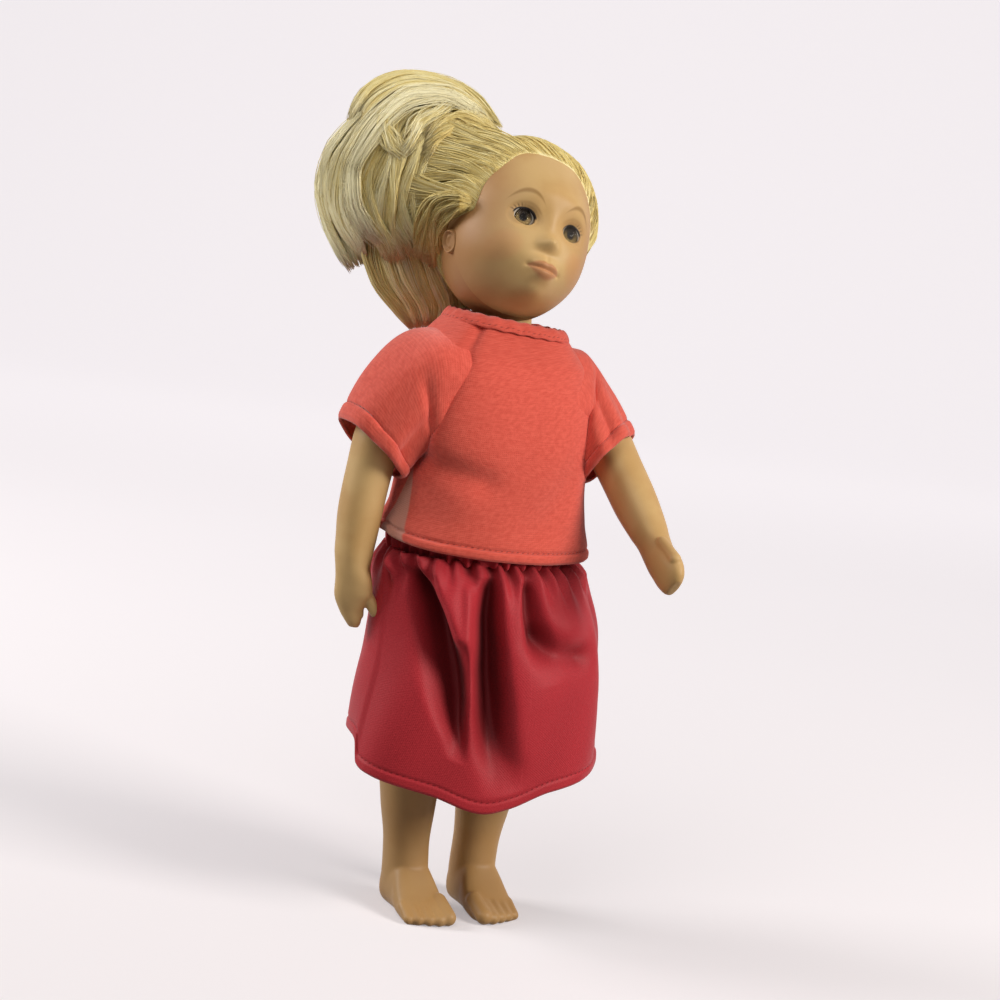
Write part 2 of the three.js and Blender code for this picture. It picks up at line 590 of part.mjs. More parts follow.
// Eye: a white ball flattened in front, a coloured iris on the flat and a clear lens over it.
function eyePieces(sign) {
  const at = eyeAt(sign);
  const flat = Math.sqrt(EYE_RADIUS ** 2 - (IRIS_RADIUS + PART_LINE) ** 2);
  const irisBack = flat + PART_LINE;
  const lensBack = irisBack + IRIS_THICKNESS + PART_LINE;
  const forward = (geometry) => posed(geometry.rotateX(Math.PI).translate(at.x, at.y, at.z));
  const ballBody = cut(solid(forward(new THREE.SphereGeometry(EYE_RADIUS, 12, 8))),
    forward(new THREE.BoxGeometry(9, 9, 9).translate(0, flat + 4.5, 0)));
  const iris = new THREE.CylinderGeometry(IRIS_RADIUS, IRIS_RADIUS, IRIS_THICKNESS, 14);
  const lens = new THREE.LatheGeometry([
    [0, lensBack],
    [IRIS_RADIUS, lensBack],
    [IRIS_RADIUS * 0.72, lensBack + CORNEA_RISE * 0.6],
    [IRIS_RADIUS * 0.38, lensBack + CORNEA_RISE * 0.9],
    [0, lensBack + CORNEA_RISE],
  ].map(([radius, y]) => new THREE.Vector2(radius, y)), 14);
  return { ballBody, iris: forward(iris.translate(0, irisBack + IRIS_THICKNESS / 2, 0)), lens: forward(lens) };
}

place('head_shell', headShell(), vinyl);
for (const [name, sign] of [['left', 1], ['right', -1]]) {
  const eye = eyePieces(sign);
  place(`${name}_eye_ball`, eye.ballBody, finish(0xe9e4da, 0.3));
  place(`${name}_eye_iris`, eye.iris, finish(0x4a4638, 0.3));
  place(`${name}_eye_lens`, eye.lens, finish(0xf4f6f8, 0.05));
}

// Hair: a cap over the scalp, a gathered side ponytail with its tie, and a lock behind the neck.
// The hairline: rows of [degrees round the cap's pole from the forehead, degrees from the pole to the rim].
const HAIRLINE = [
  [0, 87],
  [30, 91],
  [45, 97],
  [62, 106],
  [74, 107],
  [90, 78],
  [120, 74],
  [150, 64],
  [180, 60],
];

function hairCap() {
  const columns = 28;
  const rows = 8;
  const turn = new THREE.Quaternion().setFromUnitVectors(vec(0, 0, 1), CAP_POLE.clone().normalize());
  const ring = (share, lift) => Array.from({ length: columns }, (_, i) => {
    const around = (TAU * i) / columns;
    const [rim] = through(HAIRLINE, Math.abs(THREE.MathUtils.radToDeg(Math.atan2(Math.cos(around), -Math.sin(around)))));
    const tilt = degToRad(rim) * share;
    const way = vec(Math.sin(tilt) * Math.cos(around), Math.sin(tilt) * Math.sin(around), Math.cos(tilt));
    way.applyQuaternion(turn);
    return way.multiplyScalar(skullRadius(way) + lift);
  });
  const shares = Array.from({ length: rows }, (_, i) => (i + 0.5) / (rows - 0.5));
  const inner = shares.map((share) => ring(share, HAIR_GAP));
  const outer = shares.map((share) => ring(share, HAIR_GAP + HAIR_THICKNESS)).reverse();
  return posed(skin([...inner, ...outer]));
}

function hairTail() {
  const [across, deep, high] = TAIL_HALF;
  const mass = ball((way) => {
    const turn = Math.atan2(way.z, way.x);
    const ripple = 1 + TAIL_RIPPLE * Math.cos(TAIL_LOBES * turn + 1.2) * (1 - way.y ** 2);
    return ripple / Math.hypot(way.x / across, way.y / deep, way.z / high);
  }, { columns: 22, rows: 14 });
  mass.rotateZ(degToRad(TAIL_TURN)).translate(TAIL_CENTRE.x + HEAD_X, TAIL_CENTRE.y + HEAD_Y, TAIL_CENTRE.z + HEAD_Z);
  return cut(solid(mass), capSpace(), tie(TIE_TUBE + SEAT_GAP));
}

// The room that the cap takes up, with the gap that its neighbours keep.
function capSpace() {
  const reach = HAIR_GAP + HAIR_THICKNESS + SEAT_GAP;
  return posed(ball((way) => skullRadius(way) + reach, { columns: 26, rows: 16 }));
}

function tie(tube) {
  const turn = new THREE.Quaternion().setFromUnitVectors(vec(0, 0, 1), TIE_CENTRE.clone().normalize());
  const ring = new THREE.TorusGeometry(TIE_RADIUS, tube, 6, 16).applyQuaternion(turn);
  return ring.translate(TIE_CENTRE.x + HEAD_X, TIE_CENTRE.y + HEAD_Y, TIE_CENTRE.z + HEAD_Z);
}

// The lock: rows of [height over the lock's tip, x, y, half width, half depth].
const LOCK_ROWS = [
  [0, -14.2, 18.4, 1.5, 1.5],
  [1.6, -14.2, 18.4, 4.4, 2.8],
  [6, -14, 18.8, 6.6, 3.8],
  [12, -13, 18.8, 7.2, 4.2],
  [17, -11.4, 18, 6.4, 3.6],
  [19, -10.8, 17.8, 3, 2],
];

function hairLock() {
  const steps = 8;
  const rings = Array.from({ length: steps + 1 }, (_, i) => {
    const rise = lerp(0, LOCK_ROWS.at(-1)[0], i / steps);
    const [x, y, halfWidth, halfDepth] = through(LOCK_ROWS, rise);
    const ring = oval(0, halfWidth, halfDepth, { count: 14 });
    return ring.map((p) => p.applyAxisAngle(vec(0, 0, 1), degToRad(TAIL_TURN)).add(vec(x, y, LOCK_TIP_Z + rise)));
  });
  return skin(rings);
}

const hairTailBody = hairTail();
const lockSpace = skinOffset(hairLock());
place('hair_cap', hairCap(), hairFibre);
place('hair_tie', cut(solid(tie(TIE_TUBE)), capSpace()), finish(0xd9c98e, 0.6));
place('hair_ponytail', hairTailBody.subtract(lockSpace), hairFibre);
place('hair_neck_lock', cut(solid(hairLock()), capSpace()), hairFibre);

// A closed shape grown by the seat gap about its own middle.
function skinOffset(geometry) {
  geometry.computeBoundingBox();
  const middle = geometry.boundingBox.getCenter(vec(0, 0, 0));
  const half = geometry.boundingBox.getSize(vec(0, 0, 0)).multiplyScalar(0.5);
  const grow = (size) => (size + SEAT_GAP * 1.5) / size;
  geometry.translate(-middle.x, -middle.y, -middle.z).scale(grow(half.x), grow(half.y), grow(half.z));
  return solid(geometry.translate(middle.x, middle.y, middle.z));
}

// Shirt: rows of [height, half width, half depth, y of the middle] of the cloth's outside.
const SHIRT_ROWS = [
  [HEM_Z, 20.9, 15.4, 0.6],
  [HEM_Z + 7, 19, 14.8, 0.5],
  [HEM_Z + 15, ARMHOLE_HALF, 14, 0.5],
  [SHOULDER_Z - 6, ARMHOLE_HALF - 0.2, 13.4, 1.2],
  [SHOULDER_Z, ARMHOLE_HALF + 0.5, 12.4, 2],
  [SHOULDER_Z + 5, ARMHOLE_HALF - 0.3, 10.8, 2.4],
  [NECK_Z - 1, 13.4, 9.8, 2.2],
  [NECKLINE_Z, ...NECKLINE_HALF, 2],
];

// How far the neckline's curve pulls a point at height z down: most in front.
function neckDip(z, angle) {
  const near = smoothstep(z, SHOULDER_Z, NECKLINE_Z);
  const front = Math.max(0, -Math.sin(angle));
  const back = Math.max(0, Math.sin(angle));
  return near * (NECKLINE_DIP * front ** 2 + 0.3 * NECKLINE_DIP * back ** 2);
}

function shirtRing(z, inset, count) {
  const [halfWidth, halfDepth, y] = through(SHIRT_ROWS, z);
  const ring = oval(z, halfWidth - inset, halfDepth - inset, { y, power: 2.5, count });
  return ring.map((p, i) => p.setZ(p.z - neckDip(z, (TAU * i) / count)));
}

function shirtBody() {
  const count = 24;
  const levels = (overrun) => [HEM_Z - overrun, ...Array.from({ length: 8 }, (_, i) => lerp(HEM_Z + 1, NECKLINE_Z, i / 7))];
  const outer = levels(0).map((z) => shirtRing(z, 0, count));
  const inner = levels(1).map((z) => shirtRing(Math.max(z, HEM_Z), CLOTH, count).map((p) => p.setZ(Math.min(p.z, z))));
  const above = inner.at(-1).map((p) => p.clone().setZ(NECKLINE_Z + 5));
  const holeZ = SHOULDER_Z - ARMHOLE_DROP;
  const stub = (radius, reach) => rod(radius, -reach, reach, JOINT_Y, holeZ, 20);
  const tubes = fuse(skin(outer), stub(ARMHOLE_RADIUS, ARMHOLE_HALF));
  return cut(tubes, skin([...inner, above]), stub(ARMHOLE_RADIUS - CLOTH, ARMHOLE_HALF + 1),
    box(-BACK_SLIT / 2, BACK_SLIT / 2, 0, 40, 0, HEAD_Z));
}

// Sleeve: rows of [share of the way down, lean in degrees, x beyond the seam, height over the peg, half height, half depth].
const SLEEVE_ROWS = [
  [0, 0, SEAT_GAP, -ARMHOLE_DROP, ARMHOLE_RADIUS, ARMHOLE_RADIUS],
  [0.33, 16, 2.9, -1.9, 8.8, 8.8],
  [0.66, 36, 5.1, -6.4, 8, 8.3],
  [1, 60, 6.8, -12.8, 6.6, 7.5],
];

function sleeve(spread) {
  const steps = 4;
  const count = 20;
  const ring = (share, inset) => {
    const [lean, x, z, halfHeight, halfDepth] = through(SLEEVE_ROWS, share);
    const tilt = degToRad(lean);
    return oval(0, halfDepth - inset, halfHeight - inset, { count }).map((p) =>
      vec(ARMHOLE_HALF + x + spread * share + p.y * Math.sin(tilt), p.x, z + p.y * Math.cos(tilt)));
  };
  const shares = Array.from({ length: steps + 1 }, (_, i) => i / steps);
  const outer = shares.map((share) => ring(share, 0));
  const inner = shares.map((share) => ring(share, CLOTH)).reverse();
  return skin([...outer, ...inner], true);
}

function neckband() {
  const count = 28;
  const section = 6;
  const middle = NECKLINE_HALF.map((half) => half - NECKBAND_RADIUS);
  const lift = NECKBAND_RADIUS + SEAT_GAP;
  return skin(Array.from({ length: section }, (_, k) => {
    const turn = (TAU * k) / section;
    const [out, up] = [Math.cos(turn) * NECKBAND_RADIUS, Math.sin(turn) * NECKBAND_RADIUS];
    const ring = oval(NECKLINE_Z + lift + up, middle[0] + out, middle[1] + out, { y: SHIRT_ROWS.at(-1)[3], power: 2.5, count });
    return ring.map((p, i) => p.setZ(p.z - neckDip(NECKLINE_Z, (TAU * i) / count)));
  }), true);
}

// Closure tapes: two strips behind the back slit, one over the other.
function tape(layer) {
  const columns = 4;
  const rows = 5;
  const behind = layer * (TAPE_THICKNESS + SEAT_GAP) + CLOTH + SEAT_GAP;
  const edge = (z, depth) => Array.from({ length: columns + 1 }, (_, i) => {
    const x = lerp(-TAPE_HALF, TAPE_HALF, i / columns);
    const [halfWidth, halfDepth, middle] = through(SHIRT_ROWS, z);
    const y = middle + halfDepth * (1 - Math.abs(x / halfWidth) ** 2.5) ** 0.4;
    return vec(x, y - depth, z);
  });
  const levels = Array.from({ length: rows + 1 }, (_, i) =>
    CASING_Z + CASING_HEIGHT + 2 * SEAT_GAP + (TAPE_LENGTH * i) / rows);
  return sheet(levels.map((z) => edge(z, behind).reverse()), levels.map((z) => edge(z, behind + TAPE_THICKNESS).reverse()));
}

place('shirt_body', shirtBody(), coral);
place('shirt_neckband', neckband(), coral);
place('closure_hook_tape', tape(0), finish(0xd9a49a, 0.9));
place('closure_loop_tape', tape(1), finish(0xd9a49a, 0.9));
for (const { name, shoulder, spread } of sides) place(`${name}_sleeve`, sleeve(spread), coral, shoulder);

// Skirt: a casing folded over an elastic, and two sides of cloth that hang from it in folds.
function waistRing(z, out, count = 32) {
  const [halfWidth, halfDepth, y] = through(TORSO_ROWS, z);
  return oval(z, halfWidth + out, halfDepth + out, { y, power: 2.3, count });
}

function casing() {
  const top = CASING_Z + CASING_HEIGHT;
  const room = ELASTIC_THICKNESS + 2 * SEAT_GAP;
  const wide = SEAT_GAP + 2 * CLOTH + room;
  return skin([
    waistRing(CASING_Z, wide),
    waistRing(top, wide),
    waistRing(top, SEAT_GAP),
    waistRing(CASING_Z, SEAT_GAP),
    waistRing(CASING_Z, SEAT_GAP + CLOTH),
    waistRing(top - CLOTH, SEAT_GAP + CLOTH),
    waistRing(top - CLOTH, SEAT_GAP + CLOTH + room),
    waistRing(CASING_Z, SEAT_GAP + CLOTH + room),
  ], true);
}

function elastic() {
  const [low, high] = [CASING_Z + SEAT_GAP, CASING_Z + CASING_HEIGHT - CLOTH - SEAT_GAP];
  const near = 2 * SEAT_GAP + CLOTH;
  const far = near + ELASTIC_THICKNESS;
  return skin([waistRing(low, far), waistRing(high, far), waistRing(high, near), waistRing(low, near)], true);
}

// Rows of [share of the way down, half width, half depth, fold depth share, sway share].
const SKIRT_ROWS = [
  [0, 17.6, 13.4, 0.1, 0],
  [0.07, 20.2, 15.6, 0.3, 0.25],
  [0.2, 21.8, 17.4, 0.5, 0.5],
  [0.4, 22.8, 18.4, 0.9, 0.85],
  [0.6, 23.6, 19, 1, 1],
  [0.8, 24.3, 19.4, 1, 1],
  [1, 24.8, 19.6, 1, 1],
];

// How far folds draw the cloth in at an angle, in degrees.
function foldDepth(angle) {
  return FOLDS.reduce((sum, [at, deep]) => {
    const away = THREE.MathUtils.euclideanModulo(angle - at + 180, 360) - 180;
    return sum + deep * Math.exp(-((away / FOLD_WIDTH) ** 2));
  }, 0);
}

// How far the hem lies above its lowest point, in front, at an angle.
function hemLift(angle) {
  return HEM_LIFT * (1 - Math.max(0, Math.cos(degToRad(angle - HEM_LOW_ANGLE))) ** 1.5);
}

function skirtSide(from, to) {
  const columns = 30;
  const rows = 8;
  const layer = (inset) => Array.from({ length: rows + 1 }, (_, i) => {
    const share = 1 - i / rows;
    const [halfWidth, halfDepth, folds, sway] = through(SKIRT_ROWS, share);
    return Array.from({ length: columns + 1 }, (__, column) => {
      const angle = lerp(from, to, column / columns);
      const inward = inset + folds * foldDepth(angle);
      const [c, s] = [Math.cos(degToRad(angle)), Math.sin(degToRad(angle))];
      const x = SKIRT_SWAY[0] * sway + (halfWidth - inward) * c;
      const y = SKIRT_SWAY[1] * sway + SKIRT_Y + (halfDepth - inward) * s;
      return vec(x, y, CASING_Z - SEAT_GAP - (SKIRT_LENGTH - hemLift(angle)) * share);
    });
  });
  return sheet(layer(0), layer(CLOTH));
}

place('skirt_left_side', skirtSide(FRONT_SPLIT + SPLIT_GAP, BACK_SPLIT - SPLIT_GAP), satin);
place('skirt_right_side', skirtSide(BACK_SPLIT + SPLIT_GAP, FRONT_SPLIT + 360 - SPLIT_GAP), satin);
place('skirt_waist_casing', casing(), satin);
place('waist_elastic', elastic(), finish(0xe8e4dc, 0.9));

// The frame's origin is the middle of the doll's footprint box, on the floor.
const bounds = new THREE.Box3().setFromObject(doll, true);
const middle = bounds.getCenter(vec(0, 0, 0));
for (const child of doll.children) child.position.sub(vec(middle.x, middle.y, bounds.min.z));

export default doll;
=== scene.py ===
"""A miniature vinyl doll in a knit shirt and a gathered satin skirt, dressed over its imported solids."""

import bpy
import numpy as np
from mathutils import Matrix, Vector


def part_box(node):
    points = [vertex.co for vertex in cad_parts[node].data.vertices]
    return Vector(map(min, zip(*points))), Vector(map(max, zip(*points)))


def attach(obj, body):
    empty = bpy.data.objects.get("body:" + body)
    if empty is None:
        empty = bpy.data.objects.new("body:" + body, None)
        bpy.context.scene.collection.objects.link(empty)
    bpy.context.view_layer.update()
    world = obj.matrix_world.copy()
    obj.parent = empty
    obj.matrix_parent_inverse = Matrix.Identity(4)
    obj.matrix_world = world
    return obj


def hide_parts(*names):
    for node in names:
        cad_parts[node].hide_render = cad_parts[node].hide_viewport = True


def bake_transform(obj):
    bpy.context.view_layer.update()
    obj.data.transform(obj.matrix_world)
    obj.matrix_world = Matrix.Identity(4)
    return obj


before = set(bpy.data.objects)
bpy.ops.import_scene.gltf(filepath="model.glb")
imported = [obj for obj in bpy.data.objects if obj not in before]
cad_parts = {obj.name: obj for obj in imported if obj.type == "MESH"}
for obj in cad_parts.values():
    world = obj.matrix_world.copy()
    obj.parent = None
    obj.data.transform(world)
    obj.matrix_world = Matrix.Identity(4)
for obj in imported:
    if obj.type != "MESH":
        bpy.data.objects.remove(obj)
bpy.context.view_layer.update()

# The doll stands on a pale paper sweep, seen from its right front and from a little above. Lengths are
# millimetres in the doll's own axes: it faces -Y, +X is its left, and the hip axle lies over y = JOINT_Y.
MM = 0.001
JOINT_Y = 3.0
HIP_Z = 62.0
axle = np.array([list(corner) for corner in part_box("hip_axle")]).mean(axis=0) / MM
DOLL = np.array([axle[0], axle[1] - JOINT_Y, axle[2] - HIP_Z])

AZIMUTH, ELEVATION, ROLL = np.radians([-28.03, 8.83, 7.28])
EYE_DISTANCE = 458.8
AIM_Z = 75.0
LENS = 85.52
SENSOR_WIDTH = 36.0
LENS_SHIFT = (0.0159, 0.0318)
NEAREST_SEEN = 0.01
PAPER_TINT = (0.868, 0.823, 0.846)
PAPER_SHADE = (0.24, 0.23, 0.23)
PAPER_GLOW = (1.0, 2.3, 3.0)
PAPER_OWN = 0.3
FLOOR_FADE = (-150.0, 450.0)
WALL_FADE = (300.0, 820.0)
WORLD_LIGHT = 0.07
KEY_TINT = (1.0, 0.965, 0.91)
SKY_TINT = (1.0, 0.985, 0.96)


def in_frame(points):
    """Places in the doll's axes, in millimetres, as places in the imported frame, in metres."""
    return (np.asarray(points, float) + DOLL) * MM


def unit(vectors):
    """Vectors scaled to length one along their last axis."""
    vectors = np.asarray(vectors, float)
    return vectors / np.maximum(np.linalg.norm(vectors, axis=-1, keepdims=True), 1e-9)


def aimed(name, data, place, right, up, back):
    """An object at a place, looking along -back with up overhead."""
    thing = bpy.data.objects.new(name, data)
    bpy.context.scene.collection.objects.link(thing)
    turn = np.eye(4)
    turn[:3, :4] = np.column_stack([right, up, back, in_frame(place)])
    thing.matrix_world = Matrix(turn.tolist())
    return thing


def lamp(name, towards, distance, size, watts, tint):
    """A square soft box that faces the doll's chest from a direction."""
    light = bpy.data.lights.new(name, "AREA")
    light.size = size * MM
    light.energy = watts
    light.color = tint
    back = unit(towards)
    right = unit(np.cross([0.0, 0.0, 1.0], back))
    aimed(name, light, np.array([0.0, 0.0, AIM_Z]) + back * distance, right, np.cross(back, right), back)


view_back = np.array([np.sin(AZIMUTH) * np.cos(ELEVATION), -np.cos(AZIMUTH) * np.cos(ELEVATION),
                      np.sin(ELEVATION)])
level = unit(np.cross([0.0, 0.0, 1.0], view_back))
rise = np.cross(view_back, level)
view_right = np.cos(ROLL) * level + np.sin(ROLL) * rise
view_up = np.cos(ROLL) * rise - np.sin(ROLL) * level
eye_place = np.array([0.0, 0.0, AIM_Z]) + EYE_DISTANCE * view_back
camera = aimed("camera", bpy.data.cameras.new("camera"), eye_place, view_right, view_up, view_back)
camera.data.lens = LENS
camera.data.sensor_width = SENSOR_WIDTH
camera.data.shift_x, camera.data.shift_y = LENS_SHIFT
camera.data.clip_start = NEAREST_SEEN
bpy.context.scene.camera = camera
bpy.context.scene.view_settings.view_transform = "Standard"

key_way = 0.95 * level + 0.45 * view_back + [0, 0, 0.44]
front_way = -0.3 * level + 0.7 * view_back + [0, 0, 0.9]
side_way = -1.0 * level - 0.12 * view_back + [0, 0, 0.5]
lamp("key_box", key_way, distance=540, size=220, watts=2.6, tint=KEY_TINT)
lamp("front_box", front_way, distance=600, size=420, watts=1.2, tint=SKY_TINT)
lamp("side_box", side_way, distance=600, size=260, watts=2.4, tint=SKY_TINT)


class Shade:
    """One output of a shader node. Arithmetic on it adds Math nodes to its tree."""

    def __init__(self, tree, socket=None):
        self.tree = tree
        self.socket = socket

    def node(self, kind, settings=None, sockets=None, output=0):
        """A new node of a kind: its settings are made first, then its sockets are set or linked."""
        made = self.tree.nodes.new("ShaderNode" + kind)
        for name, value in (settings or {}).items():
            if name == "stops":
                ramp = made.color_ramp.elements
                for stop, (place, colour) in enumerate(value):
                    element = ramp[stop] if stop < len(ramp) else ramp.new(place)
                    element.position = place
                    element.color = (*colour, 1.0)
            else:
                setattr(made, name, value)
        for key, value in (sockets or {}).items():
            if isinstance(value, Shade):
                self.tree.links.new(value.socket, made.inputs[key])
            else:
                made.inputs[key].default_value = value
        return Shade(self.tree, made.outputs[output])

    def math(self, operation, a, b=0.0):
        return self.node("Math", {"operation": operation}, {0: a, 1: b})

    def __add__(self, other):
        return self.math("ADD", self, other)

    __radd__ = __add__

    def __sub__(self, other):
        return self.math("SUBTRACT", self, other)

    def __rsub__(self, other):
        return self.math("SUBTRACT", other, self)

    def __mul__(self, other):
        return self.math("MULTIPLY", self, other)

    __rmul__ = __mul__

    def __truediv__(self, other):
        return self.math("DIVIDE", self, other)

    def __rtruediv__(self, other):
        return self.math("DIVIDE", other, self)

    def __abs__(self):
        return self.math("ABSOLUTE", self)

    def power(self, exponent):
        return self.math("POWER", self, exponent)

    def sine(self):
        return self.math("SINE", self)

    def least(self, other):
        return self.math("MINIMUM", self, other)

    def most(self, other):
        return self.math("MAXIMUM", self, other)

    def ease(self, low, high):
        """0 below low and 1 above high, with a smooth step between; low may be the larger."""
        settings = {"interpolation_type": "SMOOTHSTEP", "clamp": True}
        if low < high:
            return self.node("MapRange", settings, {0: self, 1: low, 2: high})
        return self.node("MapRange", settings, {0: self, 1: high, 2: low, 3: 1.0, 4: 0.0})

    def part(self, axis):
        """One number of a vector: 0, 1 or 2 for x, y or z."""
        return self.node("SeparateXYZ", None, {0: self}, axis)

    def stretch(self, scale):
        """A vector with each of its numbers multiplied."""
        return self.node("VectorMath", {"operation": "MULTIPLY"}, {0: self, 1: scale})

    def noise(self, scale, detail=3.0, roughness=0.5):
        """Soft noise between about 0.3 and 0.7 over this vector."""
        sockets = {"Vector": self, "Scale": scale, "Detail": detail, "Roughness": roughness}
        return self.node("TexNoise", {"noise_dimensions": "3D"}, sockets)

    def blend(self, low, high):
        """A colour between low, where this is 0, and high, where it is 1."""
        settings = {"data_type": "RGBA", "blend_type": "MIX"}
        low = low if isinstance(low, Shade) else (*low, 1.0)
        high = high if isinstance(high, Shade) else (*high, 1.0)
        return self.node("Mix", settings, {0: self, 6: low, 7: high}, 2)

    def bump(self, distance, strength=1.0):
        """A normal that reads this as a height of distance metres."""
        return self.node("Bump", None, {"Height": self, "Distance": distance, "Strength": strength})


class Finish:
    """A material with one Principled shader. Fixed numbers sit on its sockets, and feed links what varies."""

    def __init__(self, name, **fixed):
        self.material = bpy.data.materials.new(name)
        self.material.use_nodes = True
        self.tree = self.material.node_tree
        self.shader = self.tree.nodes["Principled BSDF"]
        for socket, value in fixed.items():
            self.shader.inputs[socket.replace("_", " ")].default_value = value
        self.start = Shade(self.tree)

    def places(self):
        """Object coordinates in millimetres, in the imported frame."""
        return self.start.node("TexCoord", None, None, 3).stretch((1 / MM, 1 / MM, 1 / MM))

    def flat(self):
        """The piece's own UV map."""
        return self.start.node("TexCoord", None, None, 2)

    def feed(self, **links):
        for socket, value in links.items():
            self.tree.links.new(value.socket, self.shader.inputs[socket.replace("_", " ")])


def colour(red, green, blue):
    """A colour as it is seen, in 0 to 255, as the linear numbers that a shader takes."""
    seen = np.array([red, green, blue]) / 255.0
    return tuple(np.where(seen <= 0.04045, seen / 12.92, ((seen + 0.055) / 1.055) ** 2.4))


def seen_rays(tree):
    """1 for what the lens sees, also in a mirror or through glass, and 0 for light that falls on the doll."""
    path = tree.nodes.new("ShaderNodeLightPath")
    straight, glossy, through_glass = (
        Shade(tree, path.outputs["Is " + kind + " Ray"]) for kind in ("Camera", "Glossy", "Transmission"))
    return straight.most(glossy).most(through_glass)


def paper():
    """Pale paper: part of what the lens sees is its own tint, for soft shadows, and it throws back less."""
    finish = Finish("pale_paper", Roughness=0.9)
    tree = finish.tree
    seen = seen_rays(tree)
    place = finish.places()
    away = place.part(0) * float(-view_back[0]) + place.part(1) * float(-view_back[1])
    near, floor_end, wall = (tuple(glow * part for part in PAPER_TINT) for glow in PAPER_GLOW)
    floor_tint = away.ease(*FLOOR_FADE).blend(near, floor_end)
    tint = away.ease(*WALL_FADE).blend(floor_tint, wall)
    glow = finish.start.node("Emission", None, {"Color": tint, "Strength": 1.0})
    shader = Shade(tree, finish.shader.outputs[0])
    finish.feed(Base_Color=seen.blend(PAPER_SHADE, PAPER_TINT))
    mixed = finish.start.node("MixShader", None, {0: seen * PAPER_OWN, 1: shader, 2: glow})
    tree.links.new(mixed.socket, tree.nodes["Material Output"].inputs["Surface"])
    return finish.material


world = bpy.data.worlds.new("studio")
bpy.context.scene.world = world
world.use_nodes = True
room = world.node_tree.nodes["Background"]
room.inputs["Color"].default_value = (0.97, 0.96, 0.95, 1.0)
room.inputs["Strength"].default_value = WORLD_LIGHT
pale_room = Shade(world.node_tree).node("Background", None, {"Color": (*PAPER_TINT, 1.0), "Strength": 1.0})
shown = {0: seen_rays(world.node_tree), 1: Shade(world.node_tree, room.outputs[0]), 2: pale_room}
shown_room = Shade(world.node_tree).node("MixShader", None, shown)
world.node_tree.links.new(shown_room.socket, world.node_tree.nodes["World Output"].inputs["Surface"])


def joined(*columns):
    """Numbers put side by side along a new last axis, once they are spread to one shape."""
    return np.stack(np.broadcast_arrays(*columns), axis=-1)


def grid(rows, columns):
    """Two grids, of the row's and of the column's number at every place."""
    return np.meshgrid(rows, columns, indexing="ij")


def mesh_object(name, points, material, uv=None, around=False, ends=False):
    """Quads between neighbouring points of one grid, or of a stack of grids of the same shape.

    Rows run along the piece and columns round it. around joins the last column to the first, and ends closes
    the first and last rows with fans. uv has one more column than the points where around is set.
    """
    stack = points if points.ndim == 4 else points[None]
    count, rows, columns = stack.shape[:3]
    r, c = grid(np.arange(rows - 1), np.arange(columns if around else columns - 1))
    near = r * columns
    far = (r + 1) * columns
    after = (c + 1) % columns
    quads = joined(near + c, near + after, far + after, far + c).reshape(-1, 4)
    shift = (np.arange(count) * rows * columns)[:, None, None]
    faces = [(quads[None] + shift).reshape(-1, 4)]
    verts = stack.reshape(-1, 3)
    if ends:
        spoke = np.arange(columns)
        beyond = (spoke + 1) % columns
        last = (rows - 1) * columns
        first_tip = len(verts) + np.arange(count)[:, None]
        last_tip = first_tip + count
        start = np.arange(count)[:, None] * rows * columns
        bottom = joined(first_tip, start + beyond, start + spoke).reshape(-1, 3)
        top = joined(last_tip, start + last + spoke, start + last + beyond).reshape(-1, 3)
        verts = np.concatenate([verts, stack[:, 0].mean(axis=1), stack[:, -1].mean(axis=1)])
        faces += [bottom, top]
    mesh = bpy.data.meshes.new(name)
    mesh.vertices.add(len(verts))
    mesh.vertices.foreach_set("co", in_frame(verts).astype(np.float32).ravel())
    loops = np.concatenate([face.ravel() for face in faces])
    sizes = np.concatenate([np.full(len(face), face.shape[1]) for face in faces])
    mesh.loops.add(len(loops))
    mesh.loops.foreach_set("vertex_index", loops.astype(np.int32))
    mesh.polygons.add(len(sizes))
    mesh.polygons.foreach_set("loop_start", np.concatenate([[0], np.cumsum(sizes)[:-1]]).astype(np.int32))
    mesh.update(calc_edges=True)
    mesh.shade_smooth()
    if uv is not None:
        layer = mesh.uv_layers.new(name="weave")
        stacked = uv if uv.ndim == 4 else uv[None]
        corners = np.stack([stacked[:, r + down, c + on] for down, on in ((0, 0), (0, 1), (1, 1), (1, 0))],
                           axis=-2)
        flat = np.zeros((len(loops), 2), np.float32)
        flat[: corners.size // 2] = corners.reshape(-1, 2)
        layer.data.foreach_set("uv", flat.ravel())
    piece = bpy.data.objects.new(name, mesh)
    bpy.context.scene.collection.objects.link(piece)
    mesh.materials.append(material)
    return piece


# The paper: one sheet that lies flat under the doll and curves up far behind it.
FLOOR_HALF = 1600.0
SWEEP_RADIUS = 500.0
SWEEP_REACH = 900.0
SWEEP_TOP = 1500.0
sweep_turn = np.linspace(0, np.pi / 2, 24)
sweep_bend = SWEEP_REACH + SWEEP_RADIUS * np.sin(sweep_turn)
sweep_away = np.concatenate([[-SWEEP_REACH], sweep_bend, [SWEEP_REACH + SWEEP_RADIUS]])
sweep_rise = np.concatenate([[0.0], SWEEP_RADIUS * (1 - np.cos(sweep_turn)), [SWEEP_TOP]])
sweep_side = np.linspace(-FLOOR_HALF, FLOOR_HALF, 5)
ahead = -unit(view_back * [1, 1, 0])
sweep_points = (sweep_away[:, None, None] * ahead + sweep_rise[:, None, None] * np.array([0.0, 0.0, 1.0])
                + sweep_side[None, :, None] * level)
mesh_object("paper_sweep", sweep_points[::-1], paper())


# Torso: two hard vinyl halves closed round the neck post, the arms' pegs and the hip axle.
# The clothes hide all of it but the neck, so the solids stay and take the vinyl's finish.
SKIN = colour(206, 171, 116)
SKIN_DEEP = colour(190, 149, 93)


